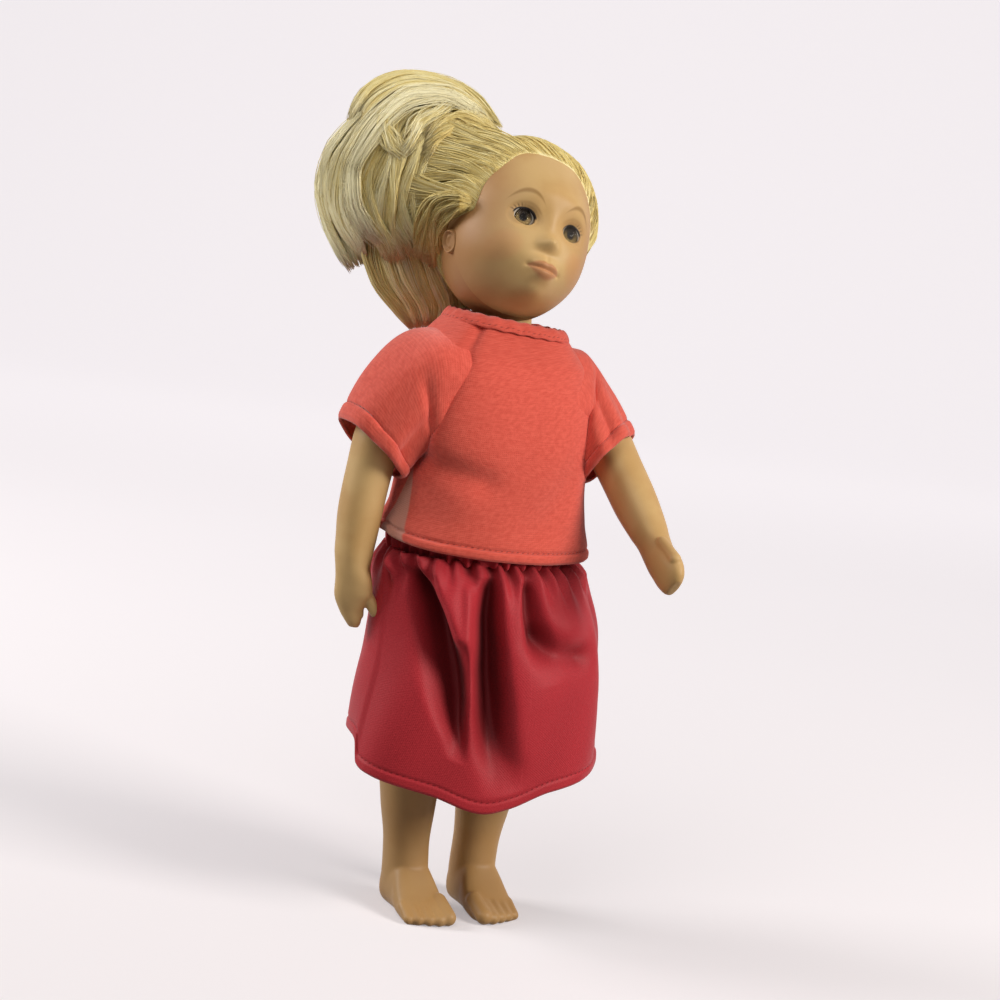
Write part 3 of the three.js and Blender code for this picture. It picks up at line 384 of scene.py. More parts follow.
def skin_vinyl(name):
    """Tan vinyl with a soft sheen: cloudy in colour and finely grained."""
    finish = Finish(name, Roughness=0.46, Specular_IOR_Level=0.28)
    place = finish.places()
    cloud = place.noise(0.09, 3.0)
    grain = place.noise(6.0, 2.0)
    tone = (cloud.ease(0.35, 0.65) * 0.7 + grain * 0.3).blend(SKIN, SKIN_DEEP)
    finish.feed(Base_Color=tone, Roughness=0.4 + 0.14 * grain, Normal=grain.bump(0.00004, 0.5))
    return finish, tone


def clouded(name, roughness, scale, low, high):
    """A finish that varies between two colours over soft noise."""
    finish = Finish(name, Roughness=roughness)
    finish.feed(Base_Color=finish.places().noise(scale, 2.0).blend(colour(*low), colour(*high)))
    return finish


def ribbed(name, roughness, pitch, low, high):
    """A finish with level ribs of two colours."""
    finish = Finish(name, Roughness=roughness)
    rib = (finish.places().part(2) * pitch).sine()
    finish.feed(Base_Color=(rib * 0.5 + 0.5).blend(colour(*low), colour(*high)))
    return finish


def coat(finish, *nodes):
    """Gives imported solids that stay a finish."""
    for node in nodes:
        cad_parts[node].data.materials[0] = finish.material


def through(rows, t):
    """Values at t on a monotone cubic through rows of (t, value, ...), which never overshoots a row."""
    rows = np.asarray(rows, float)
    at = rows[:, 0]
    values = rows[:, 1:]
    secant = np.diff(values, axis=0) / np.diff(at)[:, None]
    product = secant[:-1] * secant[1:]
    total = np.where(product > 0, secant[:-1] + secant[1:], 1.0)
    inner = np.where(product > 0, 2 * product / total, 0.0)
    slope = np.vstack([secant[:1], inner, secant[-1:]])
    t = np.clip(np.asarray(t, float), at[0], at[-1])
    k = np.clip(np.searchsorted(at, t, side="right") - 1, 0, len(at) - 2)
    span = (at[k + 1] - at[k])[..., None]
    u = (t - at[k])[..., None] / span
    ease = u * u * (3 - 2 * u)
    bend = (1 - u) * slope[k] * span - u * slope[k + 1] * span
    return values[k] + (values[k + 1] - values[k]) * ease + u * (1 - u) * bend


def columns_at(rows, t):
    """What through gives at t, as one array for each column of values."""
    return np.moveaxis(through(rows, t), -1, 0)


def turns(count):
    """Angles evenly round one turn."""
    return np.linspace(0, 2 * np.pi, count, endpoint=False)


def oval(count, power=2.0):
    """Unit points round a rounded oval, counter-clockwise: where |x|^power + |y|^power is 1."""
    turn = turns(count)
    c, s = np.cos(turn), np.sin(turn)
    size = (np.abs(c) ** power + np.abs(s) ** power) ** (-1 / power)
    return c * size, s * size


limb_skin, _ = skin_vinyl("limb_vinyl")
peg_plastic = clouded("peg_plastic", 0.35, 3.0, (176, 138, 94), (196, 160, 114))
coat(limb_skin, "torso_front_shell", "torso_back_shell")
coat(peg_plastic, "hip_axle", "left_shoulder_peg", "right_shoulder_peg")

NECK_Z = 113.0
NECK_RADIUS = 5.5
NECK_ROWS = [
    (NECK_Z - 4.9, 4.8), (NECK_Z - 3.5, 4.8), (NECK_Z - 3.4, 3.6), (NECK_Z + 0.2, 3.6),
    (NECK_Z + 0.3, NECK_RADIUS), (NECK_Z + 5, NECK_RADIUS - 0.25), (NECK_Z + 9.6, NECK_RADIUS - 0.3),
    (NECK_Z + 10.8, 6.2), (NECK_Z + 12, 6.2), (NECK_Z + 13.6, 4.2),
]
neck_z = np.linspace(NECK_ROWS[0][0], NECK_ROWS[-1][0], 90)
neck_radius = np.interp(neck_z, *np.array(NECK_ROWS).T)
ring_x, ring_y = oval(64)
neck_points = joined(neck_radius[:, None] * ring_x, JOINT_Y + neck_radius[:, None] * ring_y, neck_z[:, None])
neck = mesh_object("neck", neck_points, limb_skin.material, around=True, ends=True)
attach(neck, "torso")
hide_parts("neck_post")


# Legs: hollow soft vinyl, moulded in one with the bare feet and toes, each on its end of the hip axle.
# A leg is a tube of rounded ovals, a foot swept from heel to toes and five round toes, run together.
THIGH_HALF = 6.3
LEG_DISC = 9.1
LEG_X = 2.3 + 0.3 + THIGH_HALF
FOOT_X = LEG_X - 1.5
SOLE_TRIM = 0.8
LEG_ROWS = [  # share of the hip's height, x, y, half width, half depth
    (0.03, FOOT_X, 1.3, 3.9, 4.4), (0.1, FOOT_X, 1.2, 4.3, 5.0), (0.2, LEG_X - 1.2, 1.5, 4.4, 4.7),
    (0.33, LEG_X - 0.6, 1.6, 5.3, 5.5), (0.45, LEG_X - 0.2, 1.6, 5.9, 6.1),
    (0.56, LEG_X - 0.2, 1.2, 5.6, 5.9), (0.68, LEG_X - 0.3, 1.8, 5.8, 6.7),
    (0.84, LEG_X - 0.1, 2.6, THIGH_HALF - 0.1, 7.8), (1.0, LEG_X, JOINT_Y, THIGH_HALF, LEG_DISC),
]
FOOT_ROWS = [  # y, half width, height
    (-11.6, 3.8, 1.7), (-9.6, 4.8, 3.0), (-7.6, 4.9, 4.7), (-5.8, 4.8, 6.3), (-4.2, 4.6, 7.9),
    (-2.6, 4.3, 9.4), (0, 4.2, 10.4), (3, 4.0, 9.2), (5.4, 3.0, 6.5), (6.3, 1.4, 4.2),
]
TOE_RADII = np.array([1.65, 1.3, 1.2, 1.12, 1.02])
TOE_BACK = np.array([0.0, 0.1, 0.7, 1.5, 2.4])
TOE_PITCH = 1.9
TOE_TIP_Y = -14.4


def tube(centre, half_width, half_depth, count, power=2.2):
    """Level rounded ovals about a line of centres: rows of points, one row for each centre."""
    c, s = oval(count, power)
    return centre[:, None] + joined(half_width[:, None] * c, half_depth[:, None] * s, 0.0)


def knobs(starts, ends, radii, columns=14, rows=12):
    """Round-ended fingers from starts to ends: balls of the given radii stretched along the line between."""
    along = unit(ends - starts)
    side = unit(np.cross(along, [0.31, 0.2, 0.93]))
    other = np.cross(along, side)
    lift = np.linspace(-np.pi / 2, np.pi / 2, rows + 2)[1:-1]
    turn = turns(columns)
    ring = (np.cos(lift)[:, None, None]
            * (np.cos(turn)[:, None] * side[:, None, None] + np.sin(turn)[:, None] * other[:, None, None]))
    axial = np.sin(lift)[:, None, None] * along[:, None, None]
    base = np.where((lift < 0)[:, None, None], starts[:, None, None], ends[:, None, None])
    return base + (ring + axial) * radii[:, None, None, None]


def melted(name, shapes, material, voxel, rounds):
    """Closed shapes run together: they are joined, remeshed at voxel millimetres and smoothed by rounds."""
    parts = [mesh_object(name, points, material, around=True, ends=True) for points in shapes]
    with bpy.context.temp_override(active_object=parts[0], selected_editable_objects=parts):
        bpy.ops.object.join()
    piece = parts[0]
    remesh = piece.modifiers.new("melt", "REMESH")
    remesh.mode = "VOXEL"
    remesh.voxel_size = voxel * MM
    remesh.use_smooth_shade = True
    soften = piece.modifiers.new("soften", "SMOOTH")
    soften.factor = 0.5
    soften.iterations = rounds
    whole = bpy.data.meshes.new_from_object(piece.evaluated_get(bpy.context.evaluated_depsgraph_get()))
    piece.modifiers.clear()
    piece.data = whole
    piece.name = name
    return piece


def leg_shapes():
    """The left leg's tube, rounded over the axle, with its foot and toes."""
    share = np.linspace(LEG_ROWS[0][0], 1.0, 60)
    x, y, half_width, half_depth = columns_at(LEG_ROWS, share)
    lift = np.linspace(0, np.pi / 2, 20)[1:-1]
    rise = np.sin(lift)
    x = np.concatenate([x, np.full_like(rise, LEG_X)])
    y = np.concatenate([y, np.full_like(rise, JOINT_Y)])
    z = np.concatenate([share * HIP_Z, HIP_Z + LEG_DISC * rise])
    half_width = np.concatenate([half_width, THIGH_HALF * np.sqrt(1 - rise ** 5)])
    half_depth = np.concatenate([half_depth, LEG_DISC * np.cos(lift)])
    shin = tube(joined(x, y, z), half_width, half_depth, 48)
    foot_y = np.linspace(FOOT_ROWS[-1][0], FOOT_ROWS[0][0], 30)
    half, height = columns_at(FOOT_ROWS, foot_y)
    c, s = oval(40, 2.5)
    middle = (height + SOLE_TRIM) / 2
    foot = joined(FOOT_X + half[:, None] * c, foot_y[:, None],
                  middle[:, None] - SOLE_TRIM + middle[:, None] * s)
    toe_x = FOOT_X - 3.5 + TOE_PITCH * np.arange(5)
    roots = joined(toe_x, np.full(5, -7.8), TOE_RADII + 1.6)
    tips = joined(toe_x, TOE_TIP_Y + TOE_BACK + TOE_RADII, TOE_RADII - 0.1)
    return [shin, foot, knobs(roots, tips, TOE_RADII)]


OTHER_SIDE = np.array([-1.0, 1.0, 1.0])


def mirrored(points):
    """The other side's points, with the columns turned round so that the faces still point outwards."""
    return (points * OTHER_SIDE)[..., ::-1, :]


def flat_soles(piece):
    """Sets everything under the floor down on it."""
    spots = np.empty(len(piece.data.vertices) * 3)
    piece.data.vertices.foreach_get("co", spots)
    spots = spots.reshape(-1, 3)
    spots[:, 2] = np.maximum(spots[:, 2], 0.0)
    piece.data.vertices.foreach_set("co", spots.ravel())
    piece.data.update()


leg_skin, leg_tone = skin_vinyl("leg_vinyl")
# The legs' vinyl is blended deeper towards the feet: painted shade for the lower legs, which get less light.
shin_shade = leg_skin.places().part(2).ease(60.0, 20.0) * 0.6
leg_skin.feed(Base_Color=shin_shade.blend(leg_tone, colour(160, 116, 70)))

for side in ("left", "right"):
    shapes = leg_shapes()
    if side == "right":
        shapes = [mirrored(points) for points in shapes]
    leg = melted(side + "_bare_leg", shapes, leg_skin.material, voxel=0.32, rounds=9)
    flat_soles(leg)
    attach(leg, side + "_leg")
    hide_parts(side + "_leg")

# Arms: soft vinyl in one with the hands, plugged on the pegs. The right one hangs and the left one is swung
# forward. An arm is a tube of rounded ovals with four closed fingers and a free thumb, run together.
SHOULDER_HALF = 14.3
SHOULDER_Z = 103.5
ARM_PAD = SHOULDER_HALF + 0.35
ARM_ROWS = [  # height over the peg, x beyond the pad, y, half width, half depth
    (-39.4, 10.5, -1.8, 2.7, 3.6), (-36.6, 10.6, -1.3, 3.0, 3.4), (-33.5, 10.5, -0.9, 3.5, 3.8),
    (-26, 10, -0.2, 4.1, 4.5), (-18, 9, 0, 4.3, 4.6), (-11, 7.6, 0, 4.8, 5.1), (-5, 5.8, 0, 5.2, 5.5),
    (0, 4.5, 0, 5.0, 5.6), (3, 3.9, 0, 4.2, 4.8), (4.8, 3.6, 0, 2.7, 3.2), (5.6, 3.5, 0, 1.0, 1.2),
]
HAND_ROWS = {
    "left": [(-48.8, 9.9, -4.4, 0.9, 2.4), (-47.8, 10, -4.4, 1.6, 3.5), (-45.2, 10.1, -4.0, 2.2, 4.3),
             (-42.2, 10.3, -2.9, 2.6, 4.1)],
    "right": [(-48.2, 9.8, -2.6, 0.7, 0.9), (-47.2, 9.9, -2.4, 1.3, 1.5), (-45.2, 10, -1.7, 1.8, 2.2),
              (-43.4, 10.2, -1.6, 2.2, 3.0), (-41.4, 10.4, -1.9, 2.5, 3.7)],
}
KNUCKLES = {"left": (10.0, -4.0, -45.0), "right": (10.0, -1.9, -45.0)}
FINGER_TIPS = {"left": (-47.4, -48.8, -48.6, -47.2), "right": (-46.6, -48.0, -47.8, -46.4)}
FINGER_RADIUS = 0.95
FINGER_PITCH = {"left": 1.9, "right": 0.8}
THUMB_RADIUS = 1.2
THUMB_LINES = {"left": [(0, -1.0, 6.0), (-0.2, -3.9, 0.4)], "right": [(0, -1.0, 5.6), (-0.4, -4.5, 0.4)]}
HAND_TURN = {"left": 5.0, "right": 50.0}
ARM_SPREAD = {"left": -1.3, "right": 1.1}
ARM_SLIM = {"left": 0.3, "right": 0.0}
ARM_SWING = {"left": -45.0, "right": 0.0}


def smooth(value, low, high):
    """0 below low, 1 above high, and a smooth step between."""
    share = np.clip((value - low) / (high - low), 0, 1)
    return share * share * (3 - 2 * share)


def turned(points, axis, degrees):
    """Points turned about the x (0), y (1) or z (2) axis."""
    angle = np.radians(degrees)
    a, b = (axis + 1) % 3, (axis + 2) % 3
    moved = np.array(points, float)
    moved[..., a] = points[..., a] * np.cos(angle) - points[..., b] * np.sin(angle)
    moved[..., b] = points[..., a] * np.sin(angle) + points[..., b] * np.cos(angle)
    return moved


def arm_shapes(side):
    """A hanging arm about its own peg, as a left one: its tube, flat on the pad, its fingers and thumb."""
    rows = HAND_ROWS[side] + ARM_ROWS
    spread = ARM_SPREAD[side]
    z = np.linspace(rows[0][0], rows[-1][0], 90)
    x, y, half_width, half_depth = columns_at(rows, z)
    less = ARM_SLIM[side] * half_width * smooth(z, -13, -3)
    half_width = half_width - less
    x = SHOULDER_HALF + x - less + spread * smooth(-z, 0, 13)
    limb = tube(joined(x, y, z), half_width, half_depth, 44)
    limb[..., 0] = np.maximum(limb[..., 0], ARM_PAD)
    across = (np.arange(4) - 1.5) * FINGER_PITCH[side]
    knuckle = np.array(KNUCKLES[side]) + [SHOULDER_HALF + spread, 0, 0]
    roots = joined(np.full(4, knuckle[0]), knuckle[1] + across, np.full(4, knuckle[2] + 2))
    tips = joined(np.full(4, knuckle[0] - 0.2), knuckle[1] + 0.8 * across - 0.5,
                  np.array(FINGER_TIPS[side]) + FINGER_RADIUS)
    fingers = knobs(roots, tips, np.full(4, FINGER_RADIUS))
    thumb_root, thumb_tip = knuckle + np.array(THUMB_LINES[side])
    thumb = knobs(thumb_root[None], thumb_tip[None], np.array([THUMB_RADIUS]))
    return [turned_hand(points, knuckle, HAND_TURN[side]) for points in (limb, fingers, thumb)]


def turned_hand(points, knuckle, degrees):
    """Turns the hand about the arm's own line, more and more from the forearm to the wrist."""
    about = knuckle * np.array([1, 0, 0]) + [0.4, -1.6, 0]
    angle = np.radians(degrees) * smooth(-points[..., 2], 30, 41)
    x, y = points[..., 0] - about[0], points[..., 1] - about[1]
    c, s = np.cos(angle), np.sin(angle)
    return about + joined(x * c + y * s, y * c - x * s, points[..., 2])


for side in ("left", "right"):
    shapes = arm_shapes(side)
    shapes = [turned(points, 0, ARM_SWING[side]) + [0, JOINT_Y, SHOULDER_Z] for points in shapes]
    if side == "right":
        shapes = [mirrored(points) for points in shapes]
    arm = melted(side + "_bare_arm", shapes, limb_skin.material, voxel=0.26, rounds=4)
    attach(arm, side + "_arm")
    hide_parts(side + "_arm")


# Head: one hollow moulding of softer vinyl, pressed over the neck's collar, tipped up and to its right.
# Its surface is a radius about the middle: a rounded box for the skull, with the face's forms raised on it.
HEAD_PLACE = np.array([-0.8, 0.9, 130.9])
HEAD_YAW, HEAD_PITCH, HEAD_ROLL = 0.9, -23.0, 14.6
HEAD_HALF_WIDTH = 13.2
FACE_DEPTH = 14.4
NAPE_DEPTH = 15.0
CROWN_RISE = 18.9
JAW_DROP = 14.9
EYE_DROP = 1.1
EYE_SPREAD = 5.2
EYE_DEPTH = 9.8
MOUTH_X = 0.6
EYE_RADIUS = 3.3
LID_THICKNESS = 0.3
EYE_HALF = 1.95
EYE_UPPER = 1.6
EYE_LOWER = 1.6
EYE_TILT = 0.13
EYE_INSET = 0.5
EYE_TURN = 8.7


def on_head(points):
    """Places in the head's own axes, about its middle, as places in the doll's axes."""
    rolled = turned(points, 1, HEAD_ROLL)
    return turned(turned(rolled, 0, HEAD_PITCH), 2, HEAD_YAW) + HEAD_PLACE


def skull_radius(way):
    """How far the skull reaches along unit directions: a rounded box, taller above and deeper behind."""
    front = smooth(-way[..., 1], 0, 0.8)
    low = smooth(-way[..., 2], 0, 0.8)
    power = 2.2 - 0.2 * front * low
    depth = np.where(way[..., 1] < 0, FACE_DEPTH, NAPE_DEPTH)
    height = np.where(way[..., 2] > 0, CROWN_RISE, JAW_DROP)
    total = np.abs(way[..., 0] / HEAD_HALF_WIDTH) ** power + np.abs(way[..., 1] / depth) ** power
    return (total + np.abs(way[..., 2] / height) ** power) ** (-1 / power)


def bell(value):
    """1 where the value is 0, and nothing far to either side of it."""
    return np.exp(-value ** 2)


def mound(x, z, at_x, at_z, half_x, half_z):
    """A soft round rise of height one about a point of a surface."""
    return np.exp(-((x - at_x) / half_x) ** 2 - ((z - at_z) / half_z) ** 2)


def lid_distance(x, z):
    """About how far a point of the face lies outside the nearer eye's opening; negative inside."""
    out = np.abs(x) - EYE_SPREAD
    up = z - EYE_TILT * out
    tall = np.where(up > 0, EYE_UPPER, EYE_LOWER)
    return (np.hypot(out / EYE_HALF, up / tall) - 1) * 2.1


def face_rounds(x, z):
    """The face's broad forms: brows, sockets and cheeks, for x across and z over the eye line."""
    side = np.abs(x)
    brow = 0.3 * mound(side, z, 4.8, 4.6, 3.6, 1.6)
    sockets = -0.4 * mound(side, z, EYE_SPREAD, 0, 3.4, 2.6) - 0.3 * mound(side, z, 2.2, 0.2, 1.2, 2.2)
    return brow + sockets + 1.0 * mound(side, z, 6.8, -6.0, 3.9, 3.6)


def face_fronts(x, z):
    """The forms that stand forward of the face: nose, muzzle, lips, the line between them, and chin."""
    side = np.abs(x)
    mouth = x - MOUTH_X
    forehead = 1.5 * mound(x, z, 0, 6.0, 7.5, 4.8)
    nose = 0.35 * mound(x, z, 0, -1.6, 2.0, 3.0) + 1.85 * mound(x, z, 0.15, -4.3, 1.5, 1.35)
    nostrils = 0.3 * mound(side, z, 1.5, -4.6, 0.9, 0.8) - 0.5 * mound(x, z, 0, -6.0, 2.1, 0.75)
    muzzle = 3.3 * mound(mouth, z, 0, -9.7, 4.6, 3.6) + 2.8 * mound(x, z, 0, -13.3, 3.8, 2.5)
    bow = 1 - 0.35 * bell(mouth / 0.55)
    upper_lip = 0.45 * bow * np.exp(-((mouth / 2.6) ** 4) - ((z + 8.35 - 0.01 * mouth ** 2) / 0.5) ** 2)
    lower_lip = 0.75 * np.exp(-((mouth / 2.3) ** 4) - ((z + 10.05 - 0.11 * mouth ** 2) / 0.85) ** 2)
    parting = -0.36 * np.exp(-((mouth / 3.2) ** 6) - ((z + 9.15 - 0.06 * mouth ** 2) / 0.28) ** 2)
    corners = -0.3 * mound(np.abs(mouth), z, 3.2, -8.5, 0.5, 0.5) - 0.4 * mound(mouth, z, 0, -11.7, 2.8, 0.9)
    philtrum = -0.2 * mound(mouth, z, 0, -7.1, 0.45, 0.7)
    return forehead + nose + nostrils + muzzle + upper_lip + lower_lip + parting + corners + philtrum


def ball_reach(way, centre, radius):
    """How far along unit directions the far side of a ball lies; the nearest approach where they miss it."""
    along = way @ centre
    inside = along ** 2 - centre @ centre + radius ** 2
    return along + np.sqrt(np.maximum(inside, 0))


def closed(points):
    """A grid with its first column once more after its last."""
    return np.concatenate([points, points[:, :1]], axis=1)


head_u, head_v = np.meshgrid(turns(360), np.linspace(0, 1, 262)[1:-1])
HEAD_CROWD = 0.55
FACE_ROW = 0.44
head_turn = head_u - HEAD_CROWD * np.sin(head_u) - np.pi / 2
row_shift = np.sin(2 * np.pi * (head_v - FACE_ROW - 0.5)) - np.sin(2 * np.pi * (-FACE_ROW - 0.5))
head_lift = np.pi * (head_v + HEAD_CROWD / (2 * np.pi) * row_shift) - np.pi / 2
head_way = joined(np.cos(head_lift) * np.cos(head_turn), np.cos(head_lift) * np.sin(head_turn),
                  np.sin(head_lift))
head_base = skull_radius(head_way)
face_x = head_way[..., 0] * head_base
face_z = head_way[..., 2] * head_base + EYE_DROP
is_face = smooth(-head_way[..., 1], 0, 0.5)
head_radius = head_base + is_face * face_rounds(face_x, face_z)
eye_away = np.where(head_way[..., 1] < 0, lid_distance(face_x, face_z), 99.0)
eye_centre = np.array([EYE_SPREAD - EYE_INSET, -EYE_DEPTH, -EYE_DROP])
mirror_way = head_way.copy()
mirror_way[..., 0] = np.abs(mirror_way[..., 0])
over_ball = ball_reach(mirror_way, eye_centre, EYE_RADIUS + LID_THICKNESS)
in_ball = ball_reach(mirror_way, eye_centre, EYE_RADIUS - 1.2)
lid_hold = smooth(-eye_away, -1.7, -0.2)
head_radius = head_radius + lid_hold * (np.maximum(over_ball, head_radius - 0.3) - head_radius)
crease = bell((eye_away - 1.05) / 0.22) * smooth(face_z, 0.2, 1.4) * smooth(-eye_away, -3, -0.2)
head_radius = head_radius - 0.12 * crease
head_radius = head_radius + smooth(-eye_away, -0.06, 0.1) * (in_ball - head_radius)
head_spots = head_way * head_radius[..., None]
head_spots[..., 1] -= is_face * (1 - 0.9 * smooth(-eye_away, -1.0, -0.1)) * face_fronts(face_x, face_z)
head_points = on_head(head_spots)
paint_x = np.where(head_way[..., 1] < 0, face_x, face_x + 500.0)
head_uv = joined(paint_x, face_z)
head_uv = closed(head_uv)

face_finish, face_tone = skin_vinyl("face_vinyl")
spot = face_finish.flat()
spot_x = abs(spot.part(0))
spot_z = spot.part(1)
lid_out = spot_x - EYE_SPREAD
lid_up = spot_z - EYE_TILT * lid_out
lid_far = ((lid_out / EYE_HALF).power(2.0) + (lid_up / EYE_UPPER).power(2.0)).power(0.5) * 2.1 - 2.1
lash_line = lid_far.ease(0.45, 0.22) * lid_up.ease(-0.2, 0.5)
lash_turn = lid_up.math("ARCTAN2", lid_up, lid_out)
lash_hairs = ((lash_turn * 24.0).sine().ease(0.1, 0.5) * lid_far.ease(1.35, 0.7) * lid_out.ease(0.2, 1.2)
              * lid_up.ease(0.2, 0.8))
low_line = abs(lid_far + 0.05).ease(0.22, 0.05) * lid_up.ease(0.2, -0.3)
brow_arch = 4.75 - 0.19 * (spot_x - 5.5).power(2.0)
brow_half = 0.32 - 0.05 * (spot_x - 5.4).power(2.0)
brow_mark = (abs(spot_z - brow_arch) - brow_half).ease(0.42, -0.2)
lip_x = abs(spot.part(0) - MOUTH_X)
lip_top = -7.55 - 0.08 * lip_x.power(2.0) - 0.35 * (1.0 / (1.0 + (lip_x / 0.6).power(2.0)))
lip_low = -10.8 + 0.22 * lip_x.power(2.0)
lip_mark = (lip_top - spot_z).ease(-0.25, 0.3) * (spot_z - lip_low).ease(-0.3, 0.35)
blush = (((spot_x - 7.2) / 3.6).power(2.0) + ((spot_z + 5.6) / 3.2).power(2.0)).ease(1.0, 0.1)
# Around each eye the colour is deepened: painted shade in the eye sockets.
socket_shade = (((spot_x - EYE_SPREAD) / 3.3).power(2.0) + ((spot_z - 1.0) / 2.7).power(2.0)).ease(1.0, 0.15)
# Under the jaw and down both sides of the face the vinyl is deepened: painted shade where the face turns away
# from the light.
jaw_shade = spot_z.ease(-8.0, -14.0) * spot_x.ease(2.5, 6.0) * 0.4
side_shade = spot_x.ease(4.5, 12.5) * 0.6
face_layers = (  # what is painted over the vinyl and its colour, lowest first; socket, side and jaw are painted shade
    (blush * 0.35, (205, 142, 98)),
    (socket_shade * 0.3, (150, 112, 70)),
    (side_shade + jaw_shade - side_shade * jaw_shade, (160, 104, 64)),
    (lip_mark * 0.75, (180, 116, 78)),
    (brow_mark * 0.75, (140, 102, 50)),
    (low_line * 0.7, (96, 66, 42)),
    (lash_line.most(lash_hairs * 0.5), (26, 20, 17)),
)
for mark, tint in face_layers:
    face_tone = mark.blend(face_tone, colour(*tint))
face_finish.feed(Base_Color=face_tone)
head = mesh_object("head", head_points, face_finish.material, head_uv, around=True, ends=True)
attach(head, "head")
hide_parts("head_shell")


# Ears: part of the head's moulding, a rolled rim round a shallow bowl with a soft lobe.
# Each is a disc whose height over the side of the head rises to the rim and falls outside it.
EAR_PLACE = np.array([-12.9, 0.3, -4.6])
EAR_TALL = 2.5
EAR_WIDE = 1.7
EAR_LEAN = 14.0


def ear_points():
    """The right ear: rings of an oval disc, with a bowl in the middle, a rim and a drop to the head."""
    share, turn = grid(np.linspace(0.03, 1, 40), turns(64))
    lobe = 1 - 0.18 * smooth(-np.sin(turn), 0.3, 1.0)
    back = EAR_WIDE * share * np.cos(turn) * lobe
    tall = EAR_TALL * share * np.sin(turn)
    rim = (1.1 * bell((share - 0.8) / 0.13)
           + 0.35 * bell((share - 0.45) / 0.15) * smooth(np.cos(turn), -0.2, 0.6))
    height = (0.1 + 0.6 * rim * (1 - 0.55 * smooth(-np.cos(turn), 0.2, 0.9)) + 0.5 * np.cos(turn) * share
              - 2.2 * smooth(share, 0.86, 1.0))
    flat = joined(-height, back, tall)
    return turned(turned(flat, 1, -18.0), 0, EAR_LEAN) + EAR_PLACE


ear_skin, ear_tone = skin_vinyl("ear_vinyl")
# The ear's vinyl is deepened over a cloudy spread: painted shade, as the ear sits in the shade of the head
# and hair.
ear_shade = ear_skin.places().noise(0.3, 2.0) * 0.5 + 0.35
ear_skin.feed(Base_Color=ear_shade.blend(ear_tone, colour(150, 98, 60)))
for side in ("left", "right"):
    ear = ear_points()
    ear = ear[:, ::-1] if side == "right" else ear * OTHER_SIDE
    ear_piece = mesh_object(side + "_ear", on_head(ear), ear_skin.material, around=True, ends=True)
    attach(ear_piece, "head")


# Eyes: each a white ball held behind the lids, with a printed iris in its flat front and a clear lens over
# it. All three are turned forms about the eye's own forward line.
IRIS_RADIUS = 1.72
IRIS_FLAT = 2.72
LENS_EDGE = 2.8
LENS_TOP = 3.42
QUARTER_TURN = 1.5708
IRIS_DARK = colour(28, 20, 10)
IRIS_MID = colour(82, 64, 32)
IRIS_PALE = colour(138, 116, 70)


def eye_turning(profile, side, count=48):
    """A turned form: rows of (distance from the eye's line, distance forward) swept round the line."""
    profile = np.asarray(profile, float)
    turn = turns(count)
    round_x = profile[:, :1] * np.cos(turn)
    round_z = profile[:, :1] * np.sin(turn)
    forward = np.broadcast_to(-profile[:, 1:], round_x.shape)
    sign = 1.0 if side == "left" else -1.0
    shape = turned(joined(round_x, forward, round_z), 2, sign * EYE_TURN)
    return on_head(shape + eye_centre * np.array([sign, 1.0, 1.0]))


ball_turn = np.linspace(-np.pi / 2 + 0.02, np.arccos((IRIS_RADIUS + 0.06) / EYE_RADIUS), 50)
ball_profile = joined(EYE_RADIUS * np.cos(ball_turn), EYE_RADIUS * np.sin(ball_turn))
ball_profile = np.concatenate([ball_profile, [[IRIS_RADIUS, 2.5], [0.05, 2.4]]])
iris_share = np.linspace(0, 1, 20)
iris_front = joined(IRIS_RADIUS * (1 - iris_share * 0.98), IRIS_FLAT - 0.22 * iris_share)
iris_profile = np.concatenate([[[0.05, 2.42], [IRIS_RADIUS - 0.02, 2.52]], iris_front])
lens_share = np.linspace(0, 1, 24)
lens_front = joined(IRIS_RADIUS * (1 - 0.98 * lens_share),
                    LENS_EDGE + (LENS_TOP - LENS_EDGE) * np.sin(lens_share * np.pi / 2))
lens_profile = np.concatenate([[[0.05, 2.76], [1.5, 2.76], [1.64, 2.76], [1.66, 2.765], [1.7, 2.78]],
                               lens_front])

eye_white = clouded("eye_white", 0.35, 0.8, (186, 174, 156), (206, 197, 182))

iris_finish = Finish("eye_iris", Roughness=0.6, Specular_IOR_Level=0.1)
iris_flat = iris_finish.flat()
iris_out = iris_flat.part(0)
iris_turn = iris_flat.part(1)
iris_round = {0: iris_turn.sine() * 2.0, 1: (iris_turn + QUARTER_TURN).sine() * 2.0, 2: iris_out * 0.6}
iris_rays = iris_finish.start.node("CombineXYZ", None, iris_round)
iris_fibre = iris_rays.noise(5.0, 4.0, 0.7).ease(0.35, 0.65)
iris_tone = iris_fibre.blend(IRIS_MID, IRIS_PALE)
iris_tone = (iris_out.ease(0.72, 0.98) * 0.9).blend(iris_tone, IRIS_DARK)
iris_tone = iris_turn.sine().ease(0.9, -0.6).blend(IRIS_DARK, iris_tone)
iris_tone = iris_out.ease(0.48, 0.4).blend(iris_tone, colour(10, 8, 7))
iris_finish.feed(Base_Color=iris_tone)

lens_finish = Finish("eye_lens", Base_Color=(1.0, 1.0, 1.0, 1.0), Roughness=0.03, IOR=1.09,
                     Transmission_Weight=1.0)

